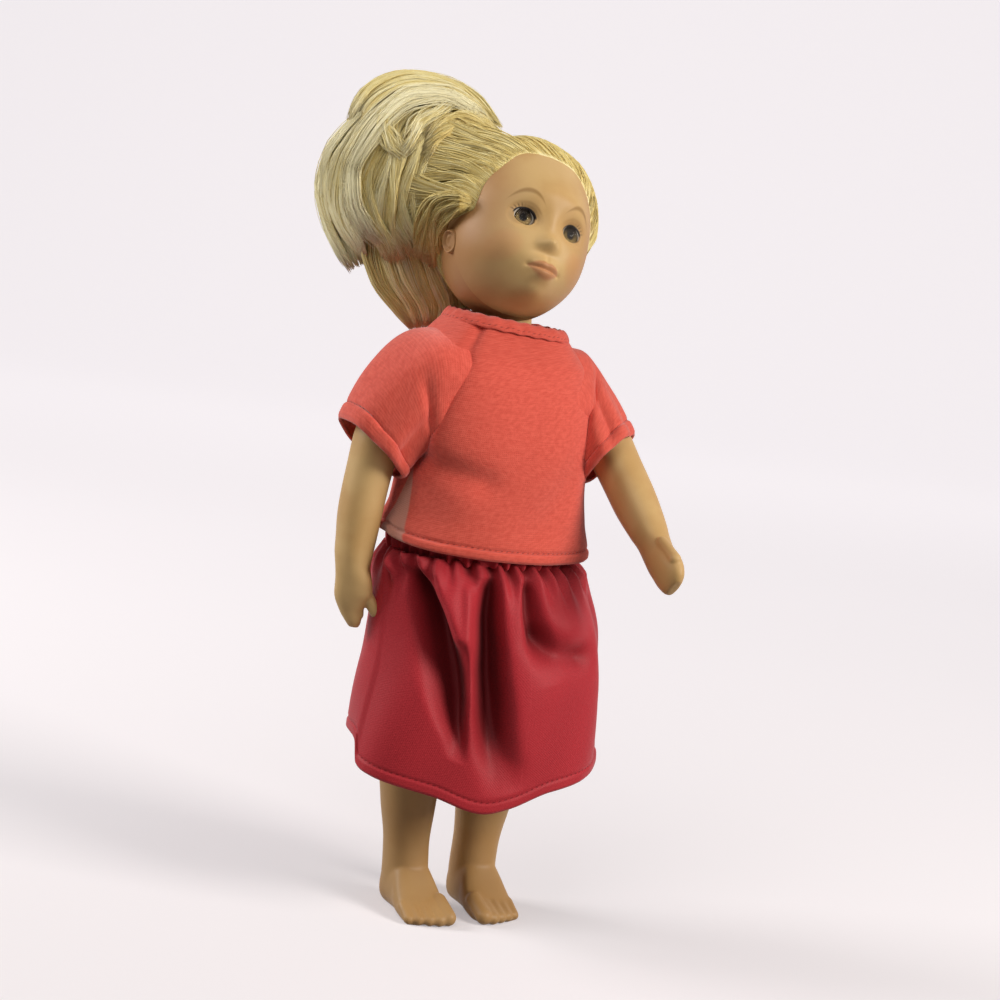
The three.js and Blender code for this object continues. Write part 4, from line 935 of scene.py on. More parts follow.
for side in ("left", "right"):
    iris_shape = eye_turning(iris_profile, side)
    iris_uv = joined((iris_profile[:, 0] / IRIS_RADIUS)[:, None], np.linspace(0, 2 * np.pi, 49))
    eye_pieces = {
        "ball": mesh_object(side + "_eyeball", eye_turning(ball_profile, side), eye_white.material,
                            around=True, ends=True),
        "iris": mesh_object(side + "_iris", iris_shape, iris_finish.material, iris_uv, around=True,
                            ends=True),
        "lens": mesh_object(side + "_lens", eye_turning(lens_profile, side), lens_finish.material,
                            around=True, ends=True),
    }
    for part, piece in eye_pieces.items():
        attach(piece, "head")
        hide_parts(side + "_eye_" + part)


# Hair: pale gold nylon fibre rooted along the hairline, drawn back over the scalp and gathered high at the
# right of the back. The scalp's layer is a closed skin from the hairline to the tie, ribbed along the way the
# fibres lie.
HAIR_ROWS = 18
TIE_PLACE = np.array([-11.3, 8.3, 13.7])
# the right half of the hairline in the head's axes, from the middle of the forehead to the nape
HAIRLINE = np.array([
    (0.0, -10.6, 13.5), (-2.2, -10.5, 13.4), (-5.2, -9.7, 13.0), (-6.8, -9.3, 12.2), (-7.8, -9.2, 11.0),
    (-8.8, -9.0, 9.8), (-9.8, -8.5, 8.3), (-10.8, -7.6, 6.8), (-11.6, -6.9, 4.6), (-11.9, -6.6, 2.5),
    (-12.4, -5.8, 0.0), (-13.1, -1.8, -0.2), (-12.8, 3.6, 0.6), (-12.6, 6.0, -3.0), (-11.0, 9.0, -7.0),
    (-7.0, 12.0, -10.0), (0.0, 13.5, -11.0),
])
GOLD_DEEP = colour(178, 148, 82)
GOLD_MID = colour(222, 198, 122)
GOLD = colour(242, 226, 164)
GOLD_PALE = colour(252, 242, 200)
rng = np.random.default_rng(7)


def nylon(name):
    """Nylon fibre: its tone is written across the map, and it is greyer at the tips."""
    finish = Finish(name, Roughness=0.42, Specular_IOR_Level=0.4)
    spot = finish.flat()
    grain = finish.places().noise(0.5, 3.0)
    tone = spot.part(0) + grain * 0.3 - 0.15
    ramp = [(0.0, GOLD_DEEP), (0.4, GOLD_MID), (0.75, GOLD), (1.0, GOLD_PALE)]
    lit = finish.start.node("ValToRGB", {"stops": ramp}, {0: tone})
    lit = (spot.part(1).ease(0.8, 1.0) * 0.35).blend(lit, colour(198, 190, 164))
    finish.feed(Base_Color=lit)
    return finish.material


def hairline_ways(count):
    """Unit directions evenly along the whole hairline: forehead, right side, nape, left side and back."""
    left = HAIRLINE[-2:0:-1] * OTHER_SIDE
    loop = np.concatenate([HAIRLINE, left, HAIRLINE[:1]])
    step = np.concatenate([[0], np.cumsum(np.linalg.norm(np.diff(loop, axis=0), axis=1))])
    rows = np.column_stack([step / step[-1], loop])
    return unit(through(rows, np.linspace(0, 1, count, endpoint=False)))


def bent_way(start, end, share):
    """Unit directions part of the way along the great circle from start to end."""
    angle = np.arccos(np.clip((start * end).sum(-1), -1, 1))[..., None]
    share = share[..., None]
    return ((np.sin((1 - share) * angle) * start + np.sin(share * angle) * end)
            / np.maximum(np.sin(angle), 1e-6))


SCALP_COLUMNS = 520
SCALP_END = 0.985
UNDER_ROWS = 30
OVER_ROWS = 70
scalp_lines = hairline_ways(SCALP_COLUMNS)
over_share = np.linspace(0, SCALP_END, OVER_ROWS) ** 1.3
scalp_share = np.concatenate([np.linspace(SCALP_END, 0, UNDER_ROWS), over_share])
scalp_out = np.concatenate([np.full(UNDER_ROWS, -0.6), 0.12 + 1.2 * smooth(over_share, 0.0, 0.3)])
is_over = (scalp_out > 0)[:, None]
scalp_way = bent_way(scalp_lines[None], unit(TIE_PLACE)[None, None], scalp_share[:, None])
scalp_comb = np.cumsum(rng.normal(size=(1, SCALP_COLUMNS)), axis=1) % 1.0
scalp_ridge = is_over * (0.22 * np.sin(2 * np.pi * np.arange(SCALP_COLUMNS) / 6.5 + 3 * scalp_comb))
scalp_ridge = scalp_ridge * smooth(scalp_share, 0.0, 0.08)[:, None]
scalp_full = 1.2 * smooth(scalp_way[..., 0], 0.15, 0.7) * smooth(scalp_share, 0.0, 0.12)[:, None] * is_over
scalp_reach = skull_radius(scalp_way) + scalp_out[:, None] + scalp_full + scalp_ridge
scalp_shape = on_head(scalp_way * scalp_reach[..., None])
scalp_tone = np.concatenate([0.22 + 0.35 * rng.random(SCALP_COLUMNS), [0.6]])
round_line = np.linspace(0, 1, SCALP_COLUMNS + 1)
# The roots are paler along the hairline but darker down its right side: a painted highlight over the forehead
# and painted shade at the right temple.
root_light_and_shade = 0.4 - 0.75 * smooth(round_line, 0.06, 0.12) * smooth(-round_line, -0.45, -0.35)
scalp_uv = joined(scalp_tone + root_light_and_shade * bell(scalp_share[:, None] / 0.05), 0.5 * scalp_share[:, None])
scalp_hair = mesh_object("scalp_hair", scalp_shape, nylon("scalp_nylon"), scalp_uv, around=True, ends=True)
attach(scalp_hair, "head")
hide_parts("hair_cap")


def fibres(name, paths, thickness, tone, node=None):
    """Three-sided fibres along paths, tapered at both ends, each with its own tone on the map."""
    count, rows = paths.shape[:2]
    along = unit(np.gradient(paths, axis=1))
    side = unit(np.cross(along, [0.23, 0.41, 0.88]))
    other = np.cross(along, side)
    turn = np.radians([0.0, 120.0, 240.0])
    taper = np.sqrt(np.clip(np.sin(np.linspace(0.12, np.pi - 0.12, rows)), 0, 1))
    size = (np.asarray(thickness).reshape(-1, 1) * taper)[..., None, None]
    ring = np.cos(turn)[:, None] * side[:, :, None] + np.sin(turn)[:, None] * other[:, :, None]
    points = paths[:, :, None] + size * ring
    u = np.broadcast_to(np.asarray(tone).reshape(-1, 1, 1), (count, rows, 4))
    v = np.broadcast_to(np.linspace(0, 1, rows)[None, :, None], (count, rows, 4))
    piece = mesh_object(name, points, hair_nylon, joined(u, v), around=True, ends=True)
    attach(piece, "head")
    if node:
        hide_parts(node)


hair_nylon = nylon("hair_nylon")

# Combed fibres: the top layer over the scalp, which starts at the hairline and runs to the tie.
# Each follows a great circle of the skull, at its own height and with a slight wander.
COMBED = 1500
combed_from = rng.integers(0, SCALP_COLUMNS, COMBED)
combed_begin = rng.random(COMBED) ** 2 * 0.5
combed_share = combed_begin[:, None] + (0.97 - combed_begin[:, None]) * np.linspace(0, 1, HAIR_ROWS)
combed_way = bent_way(scalp_lines[combed_from][:, None], unit(TIE_PLACE), combed_share)
combed_lift = (0.25 + 1.15 * smooth(combed_share, 0.0, 0.3)
               + 0.25 * rng.random((COMBED, 1)) * smooth(combed_share, 0.05, 0.4))
combed_lift = combed_lift + 1.2 * smooth(combed_way[..., 0], 0.15, 0.7) * smooth(combed_share, 0.0, 0.12)
combed_path = combed_way * (skull_radius(combed_way) + combed_lift)[..., None]
combed_path += (0.35 * np.sin(combed_share * 9 + 7 * rng.random((COMBED, 1)))[..., None]
                * np.array([0.2, 0.6, 0.3]))
fibres("combed_hair", on_head(combed_path), 0.07 + 0.06 * rng.random(COMBED), 0.2 + 0.48 * rng.random(COMBED))


# Ponytail: the gathered fibres fall from the tie in broad wavy locks round a full, rolled shape. Its own axes
# are across, up and out of the roll's face, from its middle; each lock lies between two drawn guide lines.
TAIL_PLACE = np.array([-15.2, 19.5, 141.4])
TAIL_HALF = (17.6, 19.6, 12.6)


def tail_places(across, up, out):
    """Places in the ponytail's axes as places in the doll's axes."""
    return TAIL_PLACE + across[..., None] * view_right + up[..., None] * view_up + out[..., None] * view_back


def tail_face(across, up):
    """How far the full ponytail stands out at a place of its face: a dome, flat at its edge."""
    inside = 1 - (across / TAIL_HALF[0]) ** 2 - (up / TAIL_HALF[1]) ** 2
    return TAIL_HALF[2] * np.sqrt(np.clip(inside, 0.0, 1))


def guide(points, t):
    """A smooth line through guide points at shares t of its length."""
    points = np.asarray(points, float)
    step = np.concatenate([[0], np.cumsum(np.linalg.norm(np.diff(points, axis=0), axis=1))])
    return through(np.column_stack([step / step[-1], points]), t)


def drift(where, fast):
    """A soft random line over numbers about 0 to 1: a sum of sines of pitches up to fast."""
    pitch = fast * (0.2 + 0.8 * rng.random(9))
    phase = 6.3 * rng.random(9)
    return np.sin(where[..., None] * pitch + phase).sum(axis=-1) / 2.1


def locks(first, last, count, deep, wave, trim, edge, thick):
    """Paths between two guide lines: neighbours wave together, and edge thins the band towards its sides."""
    aside = rng.random(count) * (1 - edge) + edge * np.clip(0.5 + 0.22 * rng.normal(size=count), -0.1, 1.1)
    begin = trim * rng.random(count)
    end = 1 - trim * rng.random(count)
    t = begin[:, None] + (end - begin)[:, None] * np.linspace(0, 1, HAIR_ROWS)
    flat = guide(first, t) * (1 - aside[:, None, None]) + guide(last, t) * aside[:, None, None]
    phase = (2.0 * drift(aside, 22) + 0.3 * rng.normal(size=count))[:, None]
    swing = wave * np.sin(t * (9 + 1.5 * drift(aside, 14)[:, None]) + phase) * smooth(t, 0.0, 0.25)
    along = unit(np.gradient(flat, axis=1))
    flat = flat + swing[..., None] * joined(-along[..., 1], along[..., 0])
    loose = np.where(rng.random(count) < 0.06, 0.2, 0.12)[:, None, None]
    flat = (flat + loose * (rng.normal(size=(count, 1, 2))
                            + rng.normal(size=(count, 1, 2)) * np.sin(t * 4 + phase)[..., None]))
    ridge = np.clip(0.5 + 0.4 * drift(aside, 45), 0, 1)
    sunk = (deep * ridge + thick * rng.random(count))[:, None]
    # Fibres that lie deeper in a lock take a darker tone: painted shade between the locks.
    tone = 0.1 * drift(aside, 60) + 0.1 * rng.normal(size=count) - 0.14 * ridge
    return flat, sunk, swing, tone


# two guide lines in millimetres, then fibres, depth, wave, trim, edge, tone, height over the dome, root lift
FAMILIES = {
    "top_band": ([(17.5, 8.5), (12.5, 15.0), (6.3, 18.4), (-1.2, 19.7), (-7.4, 17.6), (-10.6, 13.2),
                  (-11.9, 9.0)],
                 [(15.5, 9.5), (11.0, 12.6), (5.5, 14.4), (-0.5, 13.6), (-5.6, 10.2), (-9.0, 6.0),
                  (-10.5, 3.0)],
                 1300, 0.9, 0.3, 0.1, 0.0, 0.74, 0.2, 0.0),
    # This band of fibres takes the palest tone: a painted highlight along the arc.
    "highlight_arc": ([(15.0, 11.5), (6.3, 15.3), (0.0, 14.9), (-5.3, 11.2), (-10.2, 5.4), (-13.0, -1.6),
                    (-12.8, -6.8), (-10.4, -12.4), (-6.5, -15.8)],
                   [(13.5, 8.6), (6.0, 11.6), (0.6, 10.6), (-3.8, 7.0), (-7.0, 2.8), (-9.8, -2.0),
                    (-9.6, -6.6), (-7.4, -11.4), (-5.0, -14.6)],
                   620, 0.4, 0.35, 0.2, 0.9, 1.15, 0.9, 0.0),
    # These loops take a paler tone than the rest: painted light on the left of the roll's face.
    "left_loops": ([(-9.5, 10.5), (-13.4, 7.6), (-16.9, 3.2), (-18.4, -4.0), (-17.6, -9.8), (-15.0, -14.9),
                    (-11.8, -19.0)],
                   [(-8.5, 7.0), (-10.5, 3.6), (-12.4, -0.8), (-12.8, -6.0), (-11.4, -11.0), (-9.4, -14.6),
                    (-8.6, -17.4)],
                   1200, 1.0, 0.35, 0.08, 0.0, 1.05, 0.4, 0.0),
    "middle": ([(9.0, 12.4), (6.5, 9.0), (4.0, 4.6), (2.4, 0.0), (1.5, -5.0), (1.4, -10.0), (3.0, -16.0)],
               [(-3.5, 10.5), (-6.8, 5.0), (-9.2, -1.0), (-10.2, -6.0), (-9.4, -11.0), (-7.4, -15.0),
                (-5.0, -19.0)],
               1500, 1.1, 0.8, 0.16, 0.0, 0.7, 0.3, 0.0),
    "vee_right": ([(10.0, 11.0), (5.6, 8.4), (2.4, 4.6), (-1.2, 0.0)],
                  [(5.0, 12.6), (2.6, 10.4), (-0.4, 7.2), (-2.0, 2.8)],
                  330, 0.4, 0.4, 0.35, 0.8, 0.8, 0.9, 0.0),
    "vee_left": ([(-5.6, 11.0), (-7.0, 7.2), (-5.4, 3.2), (-1.6, -0.6)],
                 [(-2.4, 12.0), (-3.2, 8.4), (-1.8, 5.2), (0.4, 2.0)],
                 330, 0.4, 0.4, 0.35, 0.8, 0.78, 0.9, 0.0),
    "right_puff": ([(19.0, 5.0), (15.5, 9.0), (11.0, 10.8), (6.0, 9.6), (2.5, 6.0)],
                   [(17.5, 0.5), (14.0, 4.0), (10.0, 5.0), (6.0, 3.4), (2.0, -1.0)],
                   900, 0.8, 0.5, 0.15, 0.2, 0.5, 0.9, 0.0),
    "ear_sweep": ([(12.0, -7.6), (8.0, -6.4), (4.0, -7.0), (1.4, -11.0), (0.6, -17.0)],
                  [(11.2, -9.4), (8.6, -10.4), (6.6, -13.0), (6.0, -17.0), (6.6, -21.0)],
                  700, 0.8, 0.45, 0.12, 0.0, 0.5, 1.4, 9.0),
    "low_lock": ([(-9.4, -7.0), (-9.6, -14.7), (-8.2, -20.9), (-3.6, -26.6), (-0.4, -30.2)],
                 [(6.5, -8.0), (8.0, -15.5), (10.2, -21.0), (11.2, -25.5), (7.0, -29.6)],
                 1800, 0.6, 0.2, 0.05, 0.0, 0.76, 0.4, 0.0),
    "back_fall": ([(0.0, 19.4), (-8.2, 16.0), (-12.6, 9.8), (-16.4, 1.6), (-16.4, -6.0), (-13.0, -12.6),
                   (-8.4, -17.4)],
                  [(6.0, 18.4), (12.6, 13.4), (16.6, 6.0), (17.0, -3.0), (14.6, -10.0), (11.0, -15.0),
                   (5.0, -18.4)],
                  1500, 0.5, 0.5, 0.05, 0.0, 0.62, 0.2, 0.0),
}
for name, (first, last, count, deep, wave, trim, edge, tone_base, out, rooted) in FAMILIES.items():
    flat, sunk, swing, tone = locks(first, last, count, deep, wave, trim, edge,
                                    thick=3.5 if name == "low_lock" else 0.5)
    if name == "low_lock":
        face = 6.0 - 0.35 * np.maximum(-8 - flat[..., 1], 0) + 1.5 * np.cos((flat[..., 0] + 1) / 5)
    else:
        face = tail_face(flat[..., 0], flat[..., 1])
    if name == "back_fall":
        face, out, sunk = -0.92 * face, -out, -sunk
    depth = face + out - sunk + 0.4 * swing + rooted * np.linspace(1, 0, HAIR_ROWS) ** 1.6
    node = {"top_band": "hair_ponytail", "low_lock": "hair_neck_lock"}.get(name)
    fibres(name + "_fibres", tail_places(flat[..., 0], flat[..., 1], depth), 0.06 + 0.05 * rng.random(count),
           tone_base + tone, node)


# Temple tufts: short thick bundles that start in points along the right hairline and sweep back over the
# scalp to the roll. Each fibre bends from its root on the hairline, over a lifted middle, to a place on the
# roll's face.
TUFTS = 26
TUFT_FIBRES = 40
TUFT_START = 0.03
TUFT_SPAN = 0.24
HAIRLINE_STEPS = 2000
tuft_root = TUFT_START + TUFT_SPAN * (np.arange(TUFTS) + rng.random(TUFTS)) / TUFTS
fibre_root = np.repeat(tuft_root, TUFT_FIBRES)
root_step = fibre_root * HAIRLINE_STEPS + 5 * rng.normal(size=TUFTS * TUFT_FIBRES)
root_way = hairline_ways(HAIRLINE_STEPS)[root_step.astype(int)]
root_place = on_head(root_way * (skull_radius(root_way) + 0.1)[:, None])
tuft_share = (fibre_root - TUFT_START) / TUFT_SPAN
tuft_spray = np.repeat(rng.normal(size=(TUFTS, 2)), TUFT_FIBRES, axis=0)
tuft_spray = tuft_spray + 0.7 * rng.normal(size=(TUFTS * TUFT_FIBRES, 2))
tuft_across = 3.5 - 4.0 * np.sin(np.pi * tuft_share) + 1.4 * tuft_spray[:, 0]
tuft_up = 8.5 - 20.0 * tuft_share + 1.4 * tuft_spray[:, 1]
tuft_end = tail_places(tuft_across, tuft_up, tail_face(tuft_across, tuft_up) - 0.8)
lift_way = bent_way(root_way, unit(TIE_PLACE)[None], np.full(len(root_way), 0.3))
tuft_lift = on_head(lift_way * (skull_radius(lift_way) + 2.2 + 0.6 * tuft_spray[:, 0])[:, None])
t = np.linspace(0, 1, HAIR_ROWS)[None, :, None]
tuft_path = (root_place[:, None] * (1 - t) ** 2 + tuft_lift[:, None] * 2 * t * (1 - t)
             + tuft_end[:, None] * t ** 2)
tuft_phase = np.repeat(rng.random(TUFTS) * 6.3, TUFT_FIBRES)[:, None, None]
tuft_path = tuft_path + 0.5 * np.sin(8 * t + tuft_phase) * t * view_up
fibres("temple_fibres", tuft_path, 0.07 + 0.07 * rng.random(len(root_way)),
       0.3 + 0.5 * rng.random(len(root_way)))


# The roll's inside and back: a full body of packed fibre behind the drawn locks, down to the neck.
# It is a ball of the ponytail's half sizes, drawn in at the tie, with fine combed ridges.
CORE_ROWS = 90
CORE_STRANDS = 720
core_lift, core_turn = grid(np.linspace(-np.pi / 2, np.pi / 2, CORE_ROWS + 2)[1:-1], turns(CORE_STRANDS))
core_strand = np.random.default_rng(11).random(CORE_STRANDS)
core_ridge = (0.016 * core_strand + 0.016 * np.sin(52 * core_turn) * np.sin(9 * core_turn + 1)
              + 0.012 * np.sin(23 * core_turn))
core_comb = 1 + core_ridge + 0.05 * np.sin(3 * core_turn + 2 * core_lift)
core_comb -= 0.16 * np.exp(-((core_turn - np.pi) / 0.9) ** 2 - ((core_lift - 0.62) / 0.4) ** 2)
core_turn = core_turn + 0.05 * np.sin(5 * core_lift + 2 * np.sin(3 * core_turn))
core_across = (TAIL_HALF[0] - 1.6) * np.cos(core_lift) * np.cos(core_turn) * core_comb
core_out = (TAIL_HALF[2] - 2.4) * np.cos(core_lift) * np.sin(core_turn) * core_comb
core_up = 1.0 + (TAIL_HALF[1] - 2.8) * np.sin(core_lift)
core_shape = tail_places(core_across, core_up, core_out)
core_uv = np.zeros((CORE_ROWS, CORE_STRANDS + 1, 2))
core_uv[..., 0] = 0.3 + 0.5 * np.append(core_strand, core_strand[0])
core_piece = mesh_object("packed_hair", core_shape[:, ::-1], nylon("packed_nylon"), core_uv, around=True,
                         ends=True)
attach(core_piece, "head")
coat(ribbed("hair_tie_elastic", 0.7, 14.0, (188, 166, 112), (216, 198, 148)), "hair_tie")


# Skirt: two sides of dark red satin, gathered by hand into a waist casing and hemmed with a turned edge. The
# cloth is a ring of ovals that swells from the waist; its folds are furrows that start under the casing and
# die out over the stiff hem.
CASING_Z = 70.3
SKIRT_TOP = 71.4
SKIRT_LENGTH = 47.4
SKIRT_Y = 1.4
SKIRT_SWAY = (3.0, -4.2)
FRONT_SPLIT = -90.0
BACK_SPLIT = 100.0
TUCK = 1.6
SATIN_THICKNESS = 0.4
HEM_BAND = 2.2
SKIRT_LINES = 150
SKIRT_COLUMNS = 330
SKIRT_ROWS = [  # share of the way down, half width, half depth, share of the sway
    (0, 18.3, 14.1, 0), (0.07, 20.6, 16.0, 0.25), (0.2, 21.8, 17.4, 0.5), (0.4, 22.8, 18.4, 0.85),
    (0.6, 23.6, 19.0, 1), (0.8, 24.3, 19.4, 1), (1, 24.8, 19.6, 1),
]
HEM_LIFTS = [  # degrees round the ring, how far the hem is over the longest point
    (-180, 11.0), (-175, 10.4), (-170, 6.4), (-160, 5.6), (-131, 3.4), (-107, 1.0), (-95, 2.0), (-73, 5.0),
    (-30, 7.4), (20, 8.5), (90, 10.0), (180, 11.0),
]
FURROWS = [  # rows of share down, degrees round, depth, half width in degrees
    [(0.05, -152, 0, 6), (0.1, -149, 3.4, 6), (0.2, -143.5, 5.9, 8), (0.31, -139, 6.6, 9.5),
     (0.43, -134.5, 6.6, 10), (0.55, -130.5, 6.0, 8.5), (0.67, -126.5, 4.2, 6), (0.75, -123.5, 1.8, 4.5),
     (0.82, -122, 0, 4)],
    [(0.05, -108, 0, 4), (0.12, -108.5, 3.4, 5), (0.28, -110.5, 6.0, 6.5), (0.41, -111, 6.5, 7.5),
     (0.53, -109.5, 6.2, 8), (0.65, -107, 5.2, 8), (0.75, -104, 3.4, 8.5), (0.84, -100, 1.6, 9),
     (0.93, -98, 0, 9)],
    [(0.05, -86.5, 0, 3), (0.12, -86, 2.4, 4), (0.22, -85.5, 3.2, 5), (0.31, -83, 2.6, 6),
     (0.42, -80, 0.8, 8), (0.5, -78, 0, 8)],
    [(0.05, -28, 0, 8), (0.2, -28, 1.6, 9), (0.6, -26, 1.2, 12), (0.95, -24, 0.3, 12)],
    [(0.05, 22, 0, 8), (0.2, 22, 2.2, 9), (0.6, 21, 2.0, 11), (1, 20, 0.8, 12)],
    [(0.05, 62, 0, 8), (0.2, 62, 2.0, 9), (0.6, 60, 1.9, 11), (1, 58, 0.8, 12)],
    [(0.05, 100, 0, 8), (0.2, 100, 2.4, 9), (0.6, 101, 2.4, 11), (1, 102, 1.0, 12)],
    [(0.05, 140, 0, 8), (0.2, 140, 1.2, 9), (0.6, 141, 1.0, 11), (1, 142, 0.5, 12)],
]
HOOD_LINE = [(-166, 0.05), (-158, 0.0), (-143, 0.0), (-133, 0.06), (-128, 0.2), (-126, 0.3)]
DENT_LINE = [(-83, 0.31), (-76, 0.355), (-68, 0.385), (-58, 0.405)]


def from_line(angle, share, line, across, down):
    """Nearness, from 0 to 1, to a bent line over cloth, with widths of across degrees and down shares."""
    line = np.asarray(line, float)
    spot = joined(angle / across, share / down)[..., None, :]
    start = line[:-1] / [across, down]
    reach = line[1:] / [across, down] - start
    along = np.clip(((spot - start) * reach).sum(-1) / (reach ** 2).sum(-1), 0, 1)
    away = np.linalg.norm(spot - start - along[..., None] * reach, axis=-1).min(axis=-1)
    return bell(away)


def turn_gap(angle, at):
    """The signed difference of two angles in degrees, between -180 and 180."""
    return (angle - at + 180) % 360 - 180


def sine_of(degrees):
    """The sine of an angle in degrees."""
    return np.sin(np.radians(degrees))


def skirt_depth(angle, share):
    """How far the cloth lies inside the plain ring: furrows, ruffles, a rolled hood and a dent."""
    depth = np.zeros_like(angle)
    for rows in FURROWS:
        at, deep, half = columns_at(rows, share)
        inside = (share > rows[0][0]) & (share < rows[-1][0] + 0.001)
        depth += inside * deep * np.exp(-np.abs(turn_gap(angle, at) / half) ** 2.6)
    ruffle = sine_of(angle * 33 + 40 * sine_of(angle * 5) + 25 * sine_of(angle * 11))
    depth += 1.1 * ruffle * bell(share / 0.11)
    front = turn_gap(angle, 0)
    depth -= 2.8 * from_line(front, share, HOOD_LINE, 6.5, 0.055)
    depth += 1.9 * from_line(front, share, DENT_LINE, 8.0, 0.055)
    depth -= 1.3 * mound(turn_gap(angle, -64), share, 0, 0.24, 15, 0.11)
    depth -= (1.5 * bell(turn_gap(angle, -119.5) / 3.2) * smooth(share, 0.04, 0.12)
              * smooth(-share, -0.75, -0.5))
    depth += 0.35 * sine_of(angle * 7 + 300 * share) * smooth(share, 0.1, 0.4)
    return depth


def hem_relief(over, band, stand, groove, ease, half):
    """How far a turned hem stands out at heights over its edge: a raised band, a groove and a round edge."""
    return (stand * smooth(-over, -band, -band + ease) - groove * bell((over - band) / half)
            - 0.4 * smooth(-over, -0.5, 0.0))


def skirt_points(angle, share, tucked):
    """The skirt's outside at angles and shares down: swaying ovals less the folds, with a raised hem band."""
    half_width, half_depth, sway = columns_at(SKIRT_ROWS, share)
    lift = through(HEM_LIFTS, turn_gap(angle, 0))[..., 0]
    above_hem = (1 - share) * (SKIRT_LENGTH - lift)
    band = hem_relief(above_hem, HEM_BAND, stand=0.1, groove=0.2, ease=0.5, half=0.3)
    flare = 3.0 * smooth(share, 0.05, 1.0) * bell(turn_gap(angle, -160) / 26)
    flare += 1.6 * smooth(share, 0.0, 0.15) * bell(turn_gap(angle, 155) / 35)
    flare += 0.8 * mound(turn_gap(angle, -30), share, 0, 0.3, 26, 0.22)
    folds = skirt_depth(angle, share)
    inward = folds - band + tucked - flare
    c, s = np.cos(np.radians(angle)), np.sin(np.radians(angle))
    x = SKIRT_SWAY[0] * sway + (half_width - inward) * c
    y = SKIRT_SWAY[1] * sway + SKIRT_Y + (half_depth - inward) * s
    return joined(x, y, SKIRT_TOP - (SKIRT_LENGTH - lift) * share), above_hem, folds


def satin(name):
    """Dark red satin: a fine twill, a soft sheen, a row of small stitches along the hem band and painted
    shade in its folds.
    """
    finish = Finish(name, Roughness=0.5, Sheen_Weight=0.05, Sheen_Roughness=0.4, Specular_IOR_Level=0.15)
    spot = finish.flat()
    along = spot.part(0)
    over = spot.part(1)
    twill = ((along + over) * 14.0).sine() * 0.5 + ((over - along * 0.3) * 19.0).sine() * 0.5
    slub = spot.stretch((1.6, 2.6, 1.0)).noise(1.6, 4.0, 0.65)
    tone = slub.ease(0.3, 0.7).blend(colour(160, 30, 41), colour(184, 46, 55))
    tone = (twill * 0.08 + 0.08).blend(tone, colour(205, 84, 84))
    # Deep in the folds and just under the casing the satin is darkened: painted shade, read from a per-point
    # attribute.
    fold_shade = finish.start.node("Attribute", {"attribute_name": "fold_shade"}, None, 2)
    tone = (fold_shade.least(1.0) * 0.8).blend(tone, colour(74, 10, 12))
    stitch = abs(over - HEM_BAND).ease(0.2, 0.06) * (along * 5.2).sine().ease(-0.1, 0.5)
    tone = (stitch * 0.55).blend(tone, colour(84, 12, 18))
    height = twill * 0.25 + slub * 0.6 - stitch * 0.5
    finish.feed(Base_Color=tone, Normal=height.bump(0.00006, 0.8))
    return finish.material


def sheet_uv(points):
    """Distances in millimetres along and across a grid of cloth, as its own flat map."""
    along = np.linalg.norm(np.diff(points, axis=1), axis=-1)
    across = np.linalg.norm(np.diff(points, axis=0), axis=-1)
    u = np.concatenate([np.zeros((len(points), 1)), np.cumsum(along, axis=1)], axis=1)
    v = np.concatenate([np.zeros((1, points.shape[1])), np.cumsum(across, axis=0)], axis=0)
    return joined(u, v)


def cloth(piece, thickness):
    """Gives a sheet its thickness, inwards."""
    thick = piece.modifiers.new("thickness", "SOLIDIFY")
    thick.thickness = thickness * MM
    thick.offset = -1.0
    thick.use_rim = True


def crisp_sides(piece, columns):
    """Marks a grid's side edges as sharp, so that its thickness does not bend the light along a seam."""
    ends = np.empty(len(piece.data.edges) * 2, np.int32)
    piece.data.edges.foreach_get("vertices", ends)
    column = ends.reshape(-1, 2) % columns
    at_side = (column == 0).all(axis=1) | (column == columns - 1).all(axis=1)
    piece.data.attributes.new("sharp_edge", "BOOLEAN", "EDGE").data.foreach_set("value", at_side)


skirt_satin = satin("skirt_satin")
for side, first, last in (("left", FRONT_SPLIT, BACK_SPLIT), ("right", BACK_SPLIT, 360 + FRONT_SPLIT)):
    skirt_share, skirt_angle = grid(1 - np.linspace(0, 1, SKIRT_LINES) ** 1.15,
                                     np.linspace(first, last + TUCK, SKIRT_COLUMNS))
    tucked = 0.7 * smooth(skirt_angle, last, last + TUCK)
    skirt_shape, skirt_over, skirt_folds = skirt_points(skirt_angle, skirt_share, tucked)
    skirt_uv = sheet_uv(skirt_shape)
    skirt_uv[..., 1] = skirt_over
    skirt_side = mesh_object(side + "_skirt_cloth", skirt_shape, skirt_satin, skirt_uv)
    # How far the painted shade darkens each point: deep in the folds and close under the casing.
    fold_shade = (np.clip(skirt_folds / (4.2 - 2.9 * bell(skirt_share / 0.14)), 0, 1)
              + 0.5 * bell(skirt_share / 0.06))
    layer = skirt_side.data.attributes.new("fold_shade", "FLOAT", "POINT")
    layer.data.foreach_set("value", fold_shade.astype(np.float32).ravel())
    crisp_sides(skirt_side, SKIRT_COLUMNS)
    cloth(skirt_side, SATIN_THICKNESS)
    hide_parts("skirt_" + side + "_side")
    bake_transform(skirt_side)


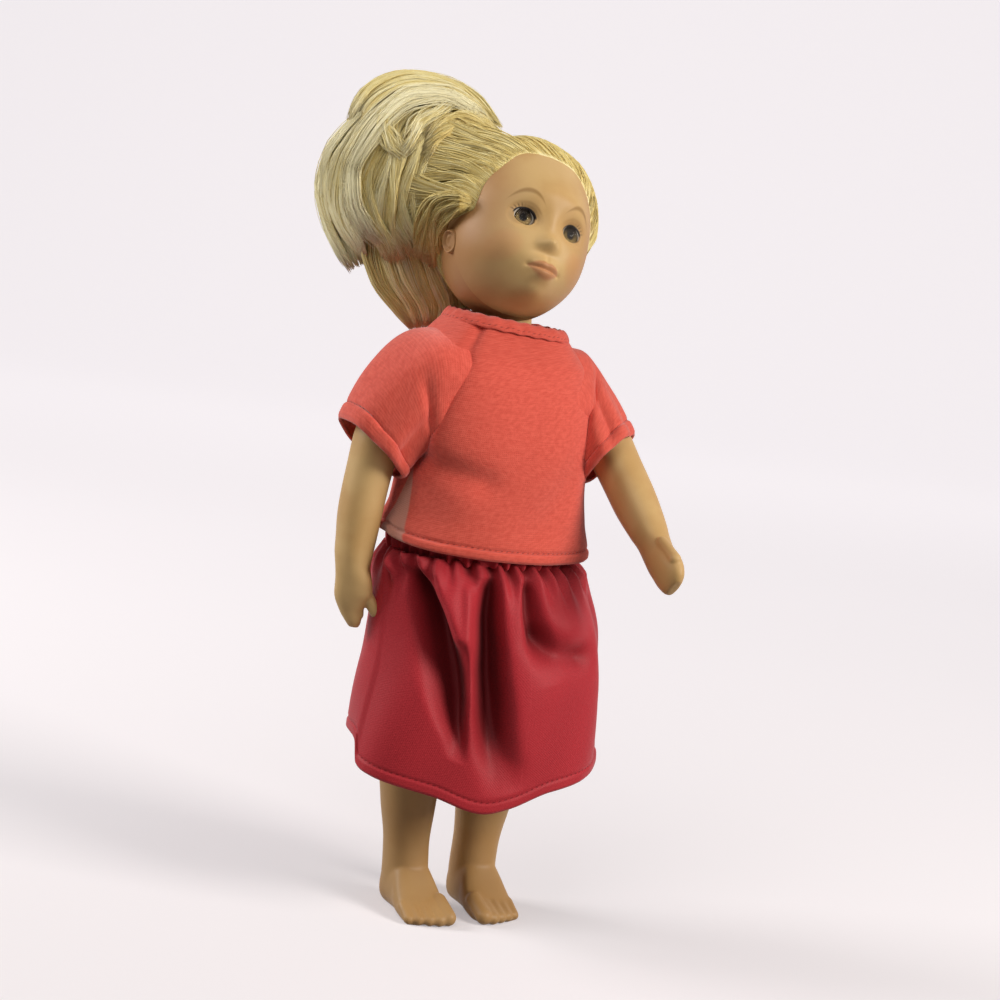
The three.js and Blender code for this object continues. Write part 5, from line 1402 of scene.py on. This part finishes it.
# Waist casing: a tunnel of the same satin, drawn up in close ruffles by the elastic inside it.
# Its outside is a band of ovals, waved in and out all the way round.
CASING_HEIGHT = 6.6
CASING_HALF = (18.0, 13.8)
casing_v, casing_turn = np.meshgrid(turns(40), turns(600))
casing_wave = np.sin(38 * casing_turn + 1.2 * np.sin(7 * casing_turn)) + 0.5 * np.sin(61 * casing_turn + 2.0)
casing_out = (0.75 * np.cos(casing_v)
              + 0.5 * casing_wave * (0.6 + 0.4 * np.cos(casing_v)) * smooth(np.cos(casing_v), -0.6, 0.4))
casing_z = (CASING_Z + CASING_HEIGHT / 2 + CASING_HEIGHT / 2 * np.sin(casing_v)
            + 0.2 * casing_wave * np.sin(casing_v))
casing_x = (CASING_HALF[0] + casing_out) * np.cos(casing_turn)
casing_y = SKIRT_Y - 0.6 + (CASING_HALF[1] + casing_out) * np.sin(casing_turn)
casing_shape = joined(casing_x, casing_y, casing_z)
casing_loop = np.concatenate([casing_shape, casing_shape[:1]])
casing_uv = sheet_uv(closed(casing_loop)) + [0, 8.0]
casing = mesh_object("waist_casing", casing_loop, skirt_satin, casing_uv, around=True)
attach(casing, "torso")
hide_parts("skirt_waist_casing")
coat(ribbed("elastic_tape", 0.8, 9.0, (214, 208, 196), (236, 232, 224)), "waist_elastic")


# Shirt body: coral jersey, cut boxy, with a turned hem, a back closed by two tapes, and a paler panel at its
# right side. Its outside is a stack of rounded ovals from the hem to the neckline, pressed in where the cloth
# drags.
HEM_Z = 72.3
NECKLINE_Z = 115.3
NECKLINE_SLOPE = -0.097
JERSEY_THICKNESS = 0.5
HEM_TURN = 2.0
SHIRT_ROWS = [  # share of the way up, half width, half depth, y of the middle
    (0, 20.6, 15.3, 0.6), (0.03, 20.5, 15.4, 0.6), (0.16, 18.8, 15.0, 0.4), (0.33, 18.0, 14.9, 0.3),
    (0.46, 18.8, 14.7, 0.5), (0.59, 19.0, 14.1, 1.0), (0.73, 18.6, 12.9, 1.8), (0.84, 17.6, 11.0, 2.3),
    (0.92, 14.8, 9.8, 2.2), (1, 11.6, 8.7, 2.0),
]
SHIRT_POWER = 2.6
ARMHOLE_LINE = [(-131, 0.95), (-130, 0.83), (-141, 0.677), (-157, 0.5), (-170, 0.39)]
DRAG_LINE = [(-163, 0.41), (-151, 0.376), (-138, 0.36), (-118, 0.33)]


def shirt_points(angle, share):
    """The shirt's outside at angles and shares up: rounded ovals with drags, a hem and a neckline."""
    half_width, half_depth, middle = columns_at(SHIRT_ROWS, share)
    c, s = np.cos(angle), np.sin(angle)
    size = (np.abs(c) ** SHIRT_POWER + np.abs(s) ** SHIRT_POWER) ** (-1 / SHIRT_POWER)
    degrees = np.degrees(angle)
    front = turn_gap(degrees, 0)
    drag = (1.0 * from_line(front, share, ARMHOLE_LINE, 5.0, 0.04)
            + 1.2 * from_line(front, share, DRAG_LINE, 11.0, 0.065))
    drag += 0.9 * bell((turn_gap(degrees, -60) - 50 * (share - 0.3)) / 13) * bell((share - 0.3) / 0.18)
    drag += 0.25 * sine_of(degrees * 5 + 500 * share) * smooth(-share, -0.4, 0.0)
    drag += 0.12 * sine_of(degrees * 11 - 700 * share) * smooth(-share, -0.8, -0.1)
    rise = share * (NECKLINE_Z - HEM_Z)
    turned_edge = hem_relief(rise, HEM_TURN, stand=0.3, groove=0.3, ease=0.4, half=0.35)
    grow = size + (turned_edge - drag) / np.hypot(half_width * c, half_depth * s)
    x = half_width * c * grow
    y = middle + half_depth * s * grow
    hem_line = 1.0 - 0.7 * c + 1.6 * np.minimum(s, 0)
    z = HEM_Z + rise + NECKLINE_SLOPE * x * smooth(share, 0.6, 1.0) + hem_line * (1 - share) ** 3
    return joined(x, y, z), rise


def jersey(name, edge, pale_side):
    """Coral knit: wales, courses, a nap, stitches edge millimetres from the hem, and a pale side panel."""
    finish = Finish(name, Roughness=0.85, Sheen_Weight=0.35, Sheen_Roughness=0.5, Specular_IOR_Level=0.2)
    spot = finish.flat()
    along = spot.part(0)
    over = spot.part(1)
    wale = (along * 15.0).sine()
    course = (over * 17.0 + wale).sine()
    nap = spot.noise(1.1, 4.0, 0.65)
    streak = spot.stretch((0.4, 3.0, 1.0)).noise(1.2, 3.0, 0.6)
    tone = (nap * 0.6 + streak * 0.4).ease(0.35, 0.65).blend(colour(212, 80, 64), colour(229, 98, 80))
    tone = (course * 0.04 + wale * 0.012 + 0.05).blend(tone, colour(150, 42, 32))
    stitch = abs(over - edge).ease(0.22, 0.08) * (along * 5.4).sine().ease(0.0, 0.6)
    tone = (stitch * 0.5).blend(tone, colour(150, 40, 34))
    if pale_side:
        place = finish.places()
        side_x = place.part(0) - float(DOLL[0])
        side_y = place.part(1) - float(DOLL[1])
        rise = place.part(2) - HEM_Z
        panel = (side_y + 6.6 - rise * 0.3).ease(0.0, 0.6) * (side_y - 4.2 + rise * 0.38).ease(0.0, -0.6)
        panel = panel * rise.ease(17.0, 14.0) * side_x.ease(-14.0, -14.4)
        tone = panel.blend(tone, colour(205, 142, 126))
    height = wale * 0.08 + course * 0.2 + nap * 1.3 - stitch * 1.5
    finish.feed(Base_Color=tone, Normal=height.bump(0.00007, 0.8))
    return finish.material


shirt_jersey = jersey("shirt_jersey", HEM_TURN, pale_side=True)
shirt_share, shirt_angle = grid(np.linspace(0, 1, 170) ** 1.1, turns(300))
shirt_shape, shirt_rise = shirt_points(shirt_angle, shirt_share)
shirt_uv = sheet_uv(closed(shirt_shape))
shirt_uv[..., 1] = closed(shirt_rise)
shirt_body = mesh_object("shirt_body_cloth", shirt_shape, shirt_jersey, shirt_uv, around=True)
cloth(shirt_body, JERSEY_THICKNESS)
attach(shirt_body, "torso")
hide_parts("shirt_body")
closure_tape = clouded("closure_tape", 0.9, 9.0, (196, 70, 56), (224, 100, 84))
coat(closure_tape, "closure_hook_tape", "closure_loop_tape")


# Neckband: a doubled strip of the jersey, folded over the neckline and stitched down through the shirt.
# It is a flat oval section carried round the neckline.
BAND_HALF = 1.15
BAND_THICK = 0.55
NECKLINE_HALF = SHIRT_ROWS[-1][1:3]
band_turn, band_v = grid(turns(240), turns(24))
band_line, _ = shirt_points(band_turn, np.ones_like(band_turn))
band_out = unit(joined(np.cos(band_turn) / NECKLINE_HALF[0], np.sin(band_turn) / NECKLINE_HALF[1], 0.0))
band_lean = 0.55 * np.sin(band_v) * BAND_HALF
band_shape = band_line + band_out * (0.1 - band_lean + BAND_THICK * np.cos(band_v))[..., None]
band_shape[..., 2] += BAND_HALF * np.sin(band_v) - 0.2 + 0.1 * np.sin(23 * band_turn)
band_shape = np.concatenate([band_shape, band_shape[:1]])
band_flat = sheet_uv(closed(band_shape))
band_flat = joined(band_flat[..., 1], band_flat[..., 0])
band_jersey = jersey("band_jersey", edge=5.6, pale_side=False)
neckband = mesh_object("neckband_cloth", band_shape[::-1], band_jersey, band_flat[::-1], around=True)
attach(neckband, "torso")
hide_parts("shirt_neckband")


# Sleeves: short set-in tubes of the same jersey with a turned hem, eased into the armholes so that they stand
# off the arms. A sleeve is a row of ovals that lean over from the armhole to the hem; the left one is swung
# forward with its arm.
SLEEVE_ROWS = {  # share of the way down, lean in degrees, x, height over the peg, half height, half depth
    "right": [(0, -6, 9.0, -1.6, 11.2, 10.4), (0.3, 4, 15.6, -2.2, 11.0, 11.1),
              (0.62, 26, 20.8, -6.7, 9.6, 9.8), (1, 48, 24.8, -13.8, 7.5, 7.9)],
    "left": [(0, -10, 9.0, -3.2, 10.2, 9.4), (0.3, 6, 15.6, -2.8, 9.4, 8.3),
             (0.62, 30, 18.0, -8.2, 8.4, 7.8), (1, 56, 20.3, -16.2, 6.3, 6.6)],
}
SLEEVE_LENGTH = 19.0


def sleeve_points(side, share, turn):
    """A sleeve at shares down and turns round, in the arm's axes: leaning ovals with furrows and a hem."""
    lean, x, z, half_height, half_depth = columns_at(SLEEVE_ROWS[side], share)
    below = (1 - share) * SLEEVE_LENGTH
    turned_edge = hem_relief(below, HEM_TURN, stand=0.3, groove=0.3, ease=0.4, half=0.35)
    degrees = np.degrees(turn)
    furrow = 1.1 * bell(turn_gap(degrees, 197) / 13) * smooth(share, 0.3, 0.6) * smooth(-share, -1.0, -0.85)
    furrow -= 0.7 * bell(turn_gap(degrees, 224) / 12) * smooth(share, 0.35, 0.7)
    furrow += 0.5 * bell(turn_gap(degrees, 150) / 14) * smooth(share, 0.2, 0.6)
    furrow += 0.9 * np.exp(-((share - 0.46) / 0.05) ** 2 - (turn_gap(degrees, 183) / 34) ** 4)
    furrow += 0.2 * sine_of(degrees * 6 + 260 * share)
    power = 2.7 - 0.7 * smooth(share, 0.3, 0.7)
    size = (np.abs(np.cos(turn)) ** power + np.abs(np.sin(turn)) ** power) ** (-1 / power)
    grow = size + (turned_edge - furrow) / half_height
    tall = half_height * grow * np.sin(turn)
    tilt = np.radians(lean)
    return joined(x + tall * np.sin(tilt), half_depth * grow * np.cos(turn), z + tall * np.cos(tilt)), below


sleeve_jersey = jersey("sleeve_jersey", HEM_TURN, pale_side=False)
for side in ("left", "right"):
    sleeve_share, sleeve_turn = grid(np.linspace(0, 1, 100), turns(160))
    sleeve_shape, sleeve_below = sleeve_points(side, sleeve_share, sleeve_turn)
    sleeve_uv = sheet_uv(closed(sleeve_shape))
    sleeve_uv[..., 1] = closed(sleeve_below)
    sleeve_shape = turned(sleeve_shape, 0, ARM_SWING[side]) + [0, JOINT_Y, SHOULDER_Z]
    if side == "right":
        sleeve_shape = sleeve_shape * OTHER_SIDE
    else:
        sleeve_shape = sleeve_shape[:, ::-1]
        sleeve_uv = sleeve_uv[:, ::-1]
    sleeve = mesh_object(side + "_sleeve_cloth", sleeve_shape, sleeve_jersey, sleeve_uv, around=True)
    cloth(sleeve, JERSEY_THICKNESS)
    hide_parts(side + "_sleeve")
    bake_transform(sleeve)
